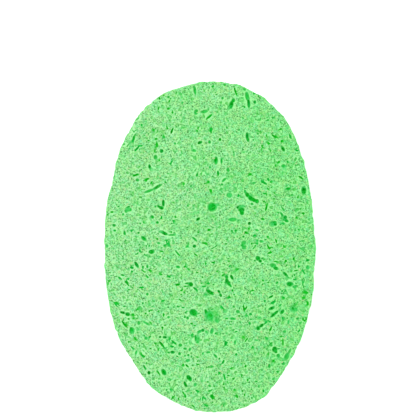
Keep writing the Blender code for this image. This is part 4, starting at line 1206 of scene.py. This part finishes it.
def foam_material():
    n = Nodes("cellulose_foam_green")
    coord = n.add("ShaderNodeTexCoord").outputs["Object"]
    mm = n.stretched(coord, (1000, 1000, 1000))
    under, hollow_ = n.named("under"), n.named("hollow")
    tone, broad, dye = n.named("tone"), n.named("broad"), n.named("dye")

    # the face is paler towards -X, the softbox's side, and deeper green towards +X: painted light falloff; the dye took
    # unevenly in drifts and patches on top of it
    split = n.add("ShaderNodeSeparateXYZ")
    n.link(mm, split.inputs[0])
    drift = n.noise(mm, 0.085, 3.0, 0.55)
    # run grows by 0.011 per mm towards +X, so the face is paler towards -X: painted light falloff
    run = n.math("MULTIPLY_ADD", split.outputs[0], 0.0110, 0.0)
    run = n.math("ADD", run, n.math("MULTIPLY_ADD", drift, 2.0, -0.52))
    run = n.math("MULTIPLY_ADD", dye, -0.45, run)
    run = n.ramp(run, 0.0, 1.0, smooth=False)
    face = n.mix(run, (0.458, 0.748, 0.446, 1), (0.208, 0.716, 0.225, 1))
    light = n.mix(run, (0.465, 0.985, 0.440, 1), (0.358, 0.970, 0.342, 1))
    # yellower and bluer patches, and finer ones where the dye is denser
    hue = n.noise(mm, 0.46, 2.0, 0.80)
    face = n.mix(n.ramp(hue, 0.50, 0.57, 0.0, 0.7), face, (0.445, 0.740, 0.240, 1))
    face = n.mix(n.ramp(hue, 0.50, 0.43, 0.0, 0.7), face, (0.180, 0.755, 0.365, 1))
    dense = n.noise(mm, 0.30, 4.0, 0.75)
    face = n.mix(n.ramp(dense, 0.50, 0.62, 0.0, 0.5), face, (0.105, 0.755, 0.150, 1))
    # cell walls: pale ridges, darker where the foam is thin
    bent = n.add("ShaderNodeTexNoise", noise_dimensions="3D")
    n.put(bent.inputs["Vector"], mm)
    bent.inputs["Scale"].default_value = 0.8
    bent.inputs["Detail"].default_value = 1.0
    shaken = n.add("ShaderNodeVectorMath", operation="MULTIPLY_ADD")
    n.link(bent.outputs["Color"], shaken.inputs[0])
    shaken.inputs[1].default_value = (1.5, 1.5, 1.5)
    n.link(mm, shaken.inputs[2])
    shaken = shaken.outputs[0]
    walls = n.noise(mm, 1.6, 0.0, 0.5, 0.3)
    face = n.mix(n.ramp(walls, 0.50, 0.62, 0.0, 0.8), face, light)
    face = n.mix(n.ramp(walls, 0.49, 0.38, 0.0, 0.4), face, (0.062, 0.660, 0.105, 1))
    # specks: painted shade of the finest open cells, each of its own size and depth,
    # with a deeper green ring round it and a painted highlight on its rim
    speck_shades, lip_highlights, halos = [], [], []
    for scale, size, turn, low, more in (
            (0.88, (1.0, 1.8, 1.0), 0.5, 0.172, 0.13),
            (0.91, (1.8, 1.0, 1.0), 0.3, 0.172, 0.13),
            (1.27, (1.0, 1.0, 1.0), 0.0, 0.22, 0.12)):
        cells = n.add("ShaderNodeTexVoronoi", voronoi_dimensions="3D", feature="F1")
        n.put(cells.inputs["Vector"], n.stretched(shaken, size, (0, 0, turn)))
        cells.inputs["Scale"].default_value = scale
        parts = n.add("ShaderNodeSeparateColor")
        n.link(cells.outputs["Color"], parts.inputs[0])
        radius = n.math("MULTIPLY_ADD", parts.outputs[0], more, low)
        near_by = n.math("SUBTRACT", radius, cells.outputs["Distance"])
        open_ = n.ramp(near_by, -0.03, 0.04)
        strength = n.math("MULTIPLY_ADD", parts.outputs[1], 0.35, 0.65)
        speck_shades.append(n.math("MULTIPLY", open_, strength))
        lip_highlights.append(n.math("MULTIPLY", n.ramp(near_by, -0.16, -0.05), strength))
        halos.append(n.math("MULTIPLY", n.ramp(near_by, -0.36, -0.06), strength))
    speck_shade = n.math("MAXIMUM", n.math("MAXIMUM", speck_shades[0], speck_shades[1]), speck_shades[2])
    lip_highlight = n.math("MAXIMUM", n.math("MAXIMUM", lip_highlights[0], lip_highlights[1]), lip_highlights[2])
    halo = n.math("MAXIMUM", n.math("MAXIMUM", halos[0], halos[1]), halos[2])
    face = n.mix(n.math("MULTIPLY", halo, 0.4), face, (0.120, 0.770, 0.150, 1))
    # painted highlight on the rim round each speck
    face = n.mix(n.math("MULTIPLY", lip_highlight, 0.75), face, light)
    # painted shade: the specks dark green
    face = n.mix(speck_shade, face, (0.001, 0.200, 0.009, 1))

    # painted shade where the surface is hollow, and a painted highlight on the edges of the cut cells
    face = n.mix(n.ramp(hollow_, 0.03, 0.20, 0.0, 0.5), face,
                 (0.120, 0.780, 0.150, 1))
    face = n.mix(n.ramp(hollow_, -0.01, -0.10, 0.0, 0.9), face, light)
    # small pores: painted shade, deeper in colour with depth under the surface, some yellower and some bluer
    share = n.math("MULTIPLY", n.ramp(under, 0.0, 0.26), n.ramp(tone, 0.0, 1.0, 0.13, 1.0))
    share = n.math("MULTIPLY", share, n.math("MULTIPLY_ADD", broad, -0.9, 1.0))
    kind = n.noise(mm, 0.16, 1.0, 0.6)
    small_pore_shade = n.mix(n.ramp(kind, 0.42, 0.58), (0.005, 0.570, 0.060, 1),
                 (0.003, 0.550, 0.012, 1))
    colour = n.mix(share, face, small_pore_shade)
    # wide pores: painted shade, clear green that deepens from rim to floor with depth, the floor's green kept light as
    # painted light scattered through the foam
    patch = n.noise(mm, 0.60, 3.0, 0.65)
    pore_rim_shade = n.mix(n.ramp(patch, 0.40, 0.60), (0.055, 0.700, 0.150, 1),
                (0.030, 0.600, 0.085, 1))
    pore_floor_shade = n.mix(n.ramp(patch, 0.38, 0.60), (0.008, 0.800, 0.060, 1),
                   (0.002, 0.680, 0.018, 1))
    closed = n.math("ADD", n.ramp(under, 0.6, 2.0, 0.0, 0.85),
                    n.ramp(hollow_, 0.10, 0.40, 0.0, 0.3), clamp=True)
    wide = n.mix(closed, pore_rim_shade, pore_floor_shade)
    wide = n.mix(n.ramp(kind, 0.45, 0.36, 0.0, 0.3), wide, (0.030, 0.720, 0.180, 1))
    full = n.math("MULTIPLY_ADD", tone, 0.95, 0.35)
    colour = n.mix(n.math("MULTIPLY", n.ramp(under, 0.03, full), broad), colour, wide)
    n.link(colour, n.shader.inputs["Base Color"])

    grain = n.noise(mm, 3.1, 3.0, 0.6)
    n.link(n.ramp(grain, 0.3, 0.7, 0.86, 0.98), n.shader.inputs["Roughness"])
    bump = n.add("ShaderNodeBump")
    bump.inputs["Strength"].default_value = 0.6
    bump.inputs["Distance"].default_value = 0.00018
    height = n.math("ADD", n.math("MULTIPLY", grain, 0.5),
                    n.math("MULTIPLY", walls, 0.9))
    height = n.math("SUBTRACT", height, n.math("MULTIPLY", speck_shade, 0.9))
    n.link(height, bump.inputs["Height"])
    n.link(bump.outputs[0], n.shader.inputs["Normal"])
    n.shader.inputs["Specular IOR Level"].default_value = 0.15
    return n.mat


def fibre_material(name, low, high, dark):
    n = Nodes(name)
    coord = n.add("ShaderNodeTexCoord").outputs["Object"]
    mm = n.stretched(coord, (1000, 1000, 1000))
    tone = n.noise(mm, 0.45, 2.0, 0.6)
    colour = n.mix(n.ramp(tone, 0.35, 0.65), low, high)
    fine = n.noise(mm, 5.0, 2.0, 0.6)
    colour = n.mix(n.ramp(fine, 0.35, 0.7, 0.0, 0.5), colour, dark)
    n.link(colour, n.shader.inputs["Base Color"])
    n.link(n.ramp(fine, 0.3, 0.7, 0.72, 0.9), n.shader.inputs["Roughness"])
    bump = n.add("ShaderNodeBump")
    bump.inputs["Strength"].default_value = 0.4
    bump.inputs["Distance"].default_value = 0.00004
    n.link(fine, bump.inputs["Height"])
    n.link(bump.outputs[0], n.shader.inputs["Normal"])
    n.shader.inputs["Specular IOR Level"].default_value = 0.25
    return n.mat


foam_mesh.materials.clear()
foam_mesh.materials.append(foam_material())
NATURAL = fibre_material("plant_fibre_natural", (0.430, 0.760, 0.305, 1),
                         (0.500, 0.730, 0.325, 1), (0.380, 0.700, 0.260, 1))
DYED = fibre_material("plant_fibre_dyed", (0.030, 0.760, 0.080, 1),
                      (0.070, 0.800, 0.110, 1), (0.020, 0.640, 0.050, 1))


# ---------------------------------------------------------------------- fibres
def tube(line, radius, sides=6, flat=1.0):
    """Points and faces of a closed tube along a line, tapering to its ends."""
    line = np.asarray(line, float)
    n = len(line)
    ahead = np.gradient(line, axis=0)
    ahead /= np.linalg.norm(ahead, axis=1)[:, None]
    ref = np.array((0, 0, 1.0)) if abs(ahead[0][2]) < 0.9 else np.array((1.0, 0, 0))
    side = np.cross(ahead, ref)
    side /= np.linalg.norm(side, axis=1)[:, None]
    up = np.cross(side, ahead)
    points, faces = [], []
    for i in range(n):
        for k in range(sides):
            a = 2 * math.pi * k / sides
            points.append(line[i] + radius[i] * (side[i] * math.cos(a)
                                                 + up[i] * math.sin(a) * flat))
    for i in range(n - 1):
        for k in range(sides):
            j = (k + 1) % sides
            faces.append((i * sides + k, i * sides + j, (i + 1) * sides + j,
                          (i + 1) * sides + k))
    faces = [face[::-1] for face in faces]
    points += [line[0] - ahead[0] * radius[0] * 0.6, line[-1] + ahead[-1] * radius[-1] * 0.6]
    first, last = n * sides, n * sides + 1
    caps = []
    for k in range(sides):
        j = (k + 1) % sides
        caps.append((first, k, j))
        caps.append((last, (n - 1) * sides + j, (n - 1) * sides + k))
    return points, faces + caps


def fibre_piece(name, tubes, finish, replaced=None):
    points, faces = [], []
    for p, f in tubes:
        faces += [tuple(v + len(points) for v in face) for face in f]
        points += list(p)
    mesh = bpy.data.meshes.new(name)
    mesh.from_pydata([tuple(v * 0.001 for v in p) for p in points], [], faces)
    mesh.update()
    mesh.shade_smooth()
    mesh.materials.append(finish)
    piece = bpy.data.objects.new(name, mesh)
    bpy.context.scene.collection.objects.link(piece)
    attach(piece, "root")
    if replaced:
        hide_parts(replaced)
    return piece


def bundle(start, end, bow, dip, g):
    """Three fine fibres twisted into one strand, with a loose hair or two."""
    run = end - start
    ahead = run / np.linalg.norm(run)
    side = np.cross(ahead, UP)
    side /= np.linalg.norm(side)
    down = np.cross(ahead, side)
    if down[2] > 0:
        down = -down
    first, last = start - ahead * FIBRE_HOLD * 0.8, end + ahead * FIBRE_HOLD * 0.8
    t = np.linspace(0, 1, 22)
    arch = np.sin(math.pi * t)
    middle = (first + (last - first) * t[:, None] + side * (bow * arch)[:, None]
              + down * (dip * arch ** 2)[:, None])
    made = []
    span = np.linalg.norm(last - first)
    for k in range(3):
        turn = 2 * math.pi * k / 3 + t * span * g.uniform(0.9, 1.5)
        wide = 0.075 + 0.05 * np.sin(t * 7 + k * 2.1)
        line = (middle + side * (np.cos(turn) * wide)[:, None]
                + down * (np.sin(turn) * wide)[:, None])
        radius = g.uniform(0.060, 0.095) * (0.75 + 0.35 * arch) \
            * (1 + 0.12 * np.sin(t * 23 + k))
        made.append(tube(line, radius))
    for _ in range(2):
        i = int(g.integers(7, 15))
        way = (side * g.normal() + down * g.uniform(-0.8, 0.2) + ahead * g.normal())
        way /= np.linalg.norm(way)
        s = np.linspace(0, 1, 7)
        bend = np.cross(way, ahead)
        line = (middle[i] + way * (s * g.uniform(0.7, 1.3))[:, None]
                + bend * (s ** 2 * 0.35)[:, None])
        made.append(tube(line, 0.045 * (1 - 0.6 * s), sides=5))
    return made


g = np.random.default_rng(19)
for name, start, end, bow, dip in SPANS:
    a = np.array((*grid_place(*start), THICKNESS - FIBRE_DEPTH))
    b = np.array((*grid_place(*end), THICKNESS - FIBRE_DEPTH))
    fibre_piece(name + "_bundle", bundle(a, b, bow, dip, g), DYED, name)
for i, (spot, size) in enumerate(sorted(BOTTOM_PLACED, key=lambda p: -p[1])[:3]):
    a = 0.7 + 1.1 * i
    arm = np.array((math.cos(a), math.sin(a), 0)) * size * 0.42
    middle = np.array((spot[0], spot[1], FIBRE_DEPTH))
    name = f"fibre_strand_{10 + i}"
    fibre_piece(name + "_bundle", bundle(middle - arm, middle + arm, 0.2, -0.3, g),
                DYED, name)


def fleck(place, out, along, length, width, g):
    """One short undyed fibre, bedded to about half its thickness."""
    out, along = np.asarray(out, float), np.asarray(along, float)
    across = np.cross(out, along)
    t = np.linspace(-0.5, 0.5, 7)
    bow = g.uniform(-0.22, 0.22) * length
    wave = 0.06 * np.sin(t * g.uniform(6, 11) + g.uniform(0, 6))
    line = (np.asarray(place, float) + along * (t * length)[:, None]
            + across * (bow * (4 * t * t - 0.5) + wave)[:, None]
            + out * (0.01 - 0.08 * (2 * t) ** 2)[:, None])
    radius = width / 2 * (1 - 0.6 * (2 * np.abs(t)) ** 2.2)
    return tube(line, radius, sides=8, flat=0.22 / width)


def open_at(point, out):
    """Whether the surface is open at a point, so that no fibre lies there."""
    i, j, k = cell_of(np.asarray(point, float) - 0.4 * np.asarray(out, float))
    return VOLUME[i, j, k] > -0.05


flecks = []
for x, y, size in FLECKS:
    if open_at((*grid_place(x, y), THICKNESS), UP):
        continue
    turn = g.uniform(0, math.pi)
    along = (math.cos(turn), math.sin(turn), 0)
    flecks.append(fleck((*grid_place(x, y), THICKNESS), UP, along, size * CELL * 1.05,
                        g.uniform(0.42, 0.75), g))
    if g.random() < 0.45:
        shift = g.normal(0, 0.35, 2)
        turn += g.uniform(0.5, 1.6)
        flecks.append(fleck((*(grid_place(x, y) + shift), THICKNESS), UP,
                            (math.cos(turn), math.sin(turn), 0),
                            g.uniform(0.6, 1.1), g.uniform(0.22, 0.34), g))
for number, (z, out) in enumerate(((THICKNESS, UP), (0.06, -UP))):
    count = 0
    while count < (110, 170)[number]:
        x, y = g.uniform(-WIDTH / 2, WIDTH / 2), g.uniform(-LENGTH / 2, LENGTH / 2)
        i, j, _ = cell_of((x, y, 0))
        if FLAT[i, j] > -1.5 or open_at((x, y, z), out):
            continue
        turn = g.uniform(0, math.pi)
        flecks.append(fleck((x, y, z), out, (math.cos(turn), math.sin(turn), 0),
                            g.uniform(0.7, 1.6), g.uniform(0.28, 0.52), g))
        count += 1
for _ in range(190):
    p, edge, out = on_edge(g.uniform(0, PERIMETER))
    turn = g.uniform(0, math.pi)
    flecks.append(fleck((p[0], p[1], g.uniform(1.5, THICKNESS - 1.5)), out,
                        edge * math.cos(turn) + UP * math.sin(turn),
                        g.uniform(0.6, 1.6), g.uniform(0.22, 0.40), g))
fibre_piece("surface_fibres", flecks, NATURAL)


# ----------------------------------------------------- floor, light and camera
def plane(name, half, z):
    mesh = bpy.data.meshes.new(name)
    mesh.from_pydata([(-half, -half, z), (half, -half, z), (half, half, z),
                      (-half, half, z)], [], [(0, 1, 2, 3)])
    obj = bpy.data.objects.new(name, mesh)
    bpy.context.scene.collection.objects.link(obj)
    return obj


floor = plane("floor", 3.0, -0.0002)
paper = Nodes("white_floor")
paper.shader.inputs["Base Color"].default_value = (0.93, 0.93, 0.93, 1)
paper.shader.inputs["Roughness"].default_value = 0.9
paper.shader.inputs["Specular IOR Level"].default_value = 0.1
paper.shader.inputs["Emission Color"].default_value = (1, 1, 1, 1)
paper.shader.inputs["Emission Strength"].default_value = 0.50
floor.data.materials.append(paper.mat)

world = bpy.data.worlds.new("studio")
bpy.context.scene.world = world
world.use_nodes = True
sky = world.node_tree.nodes["Background"]
sky.inputs[0].default_value = (1, 1, 1, 1)
sky.inputs[1].default_value = 0.98


def softbox(name, place, size, power):
    light = bpy.data.lights.new(name, "AREA")
    light.shape = "SQUARE"
    light.size = size
    light.energy = power
    obj = bpy.data.objects.new(name, light)
    obj.location = place
    from mathutils import Vector
    aim = Vector((0, 0, 0.02)) - Vector(place)
    obj.rotation_euler = aim.to_track_quat("-Z", "Y").to_euler()
    bpy.context.scene.collection.objects.link(obj)
    return obj


softbox("softbox_left", (-0.85, 0.75, 1.15), 0.7, 4.2)

camera = bpy.data.objects.new("camera", bpy.data.cameras.new("camera"))
bpy.context.scene.collection.objects.link(camera)
camera.data.sensor_width = 36.0
camera.data.lens = 135.0
frame_width = 420 * CELL * 0.001
camera.location = (0.0, (247.0 - 210.0) * CELL * 0.001,
                   THICKNESS * 0.001 + frame_width * 135.0 / 36.0)
camera.rotation_euler = (0, 0, 0)
camera.data.clip_start, camera.data.clip_end = 0.01, 20.0
bpy.context.scene.camera = camera
bpy.context.scene.view_settings.view_transform = "Standard"
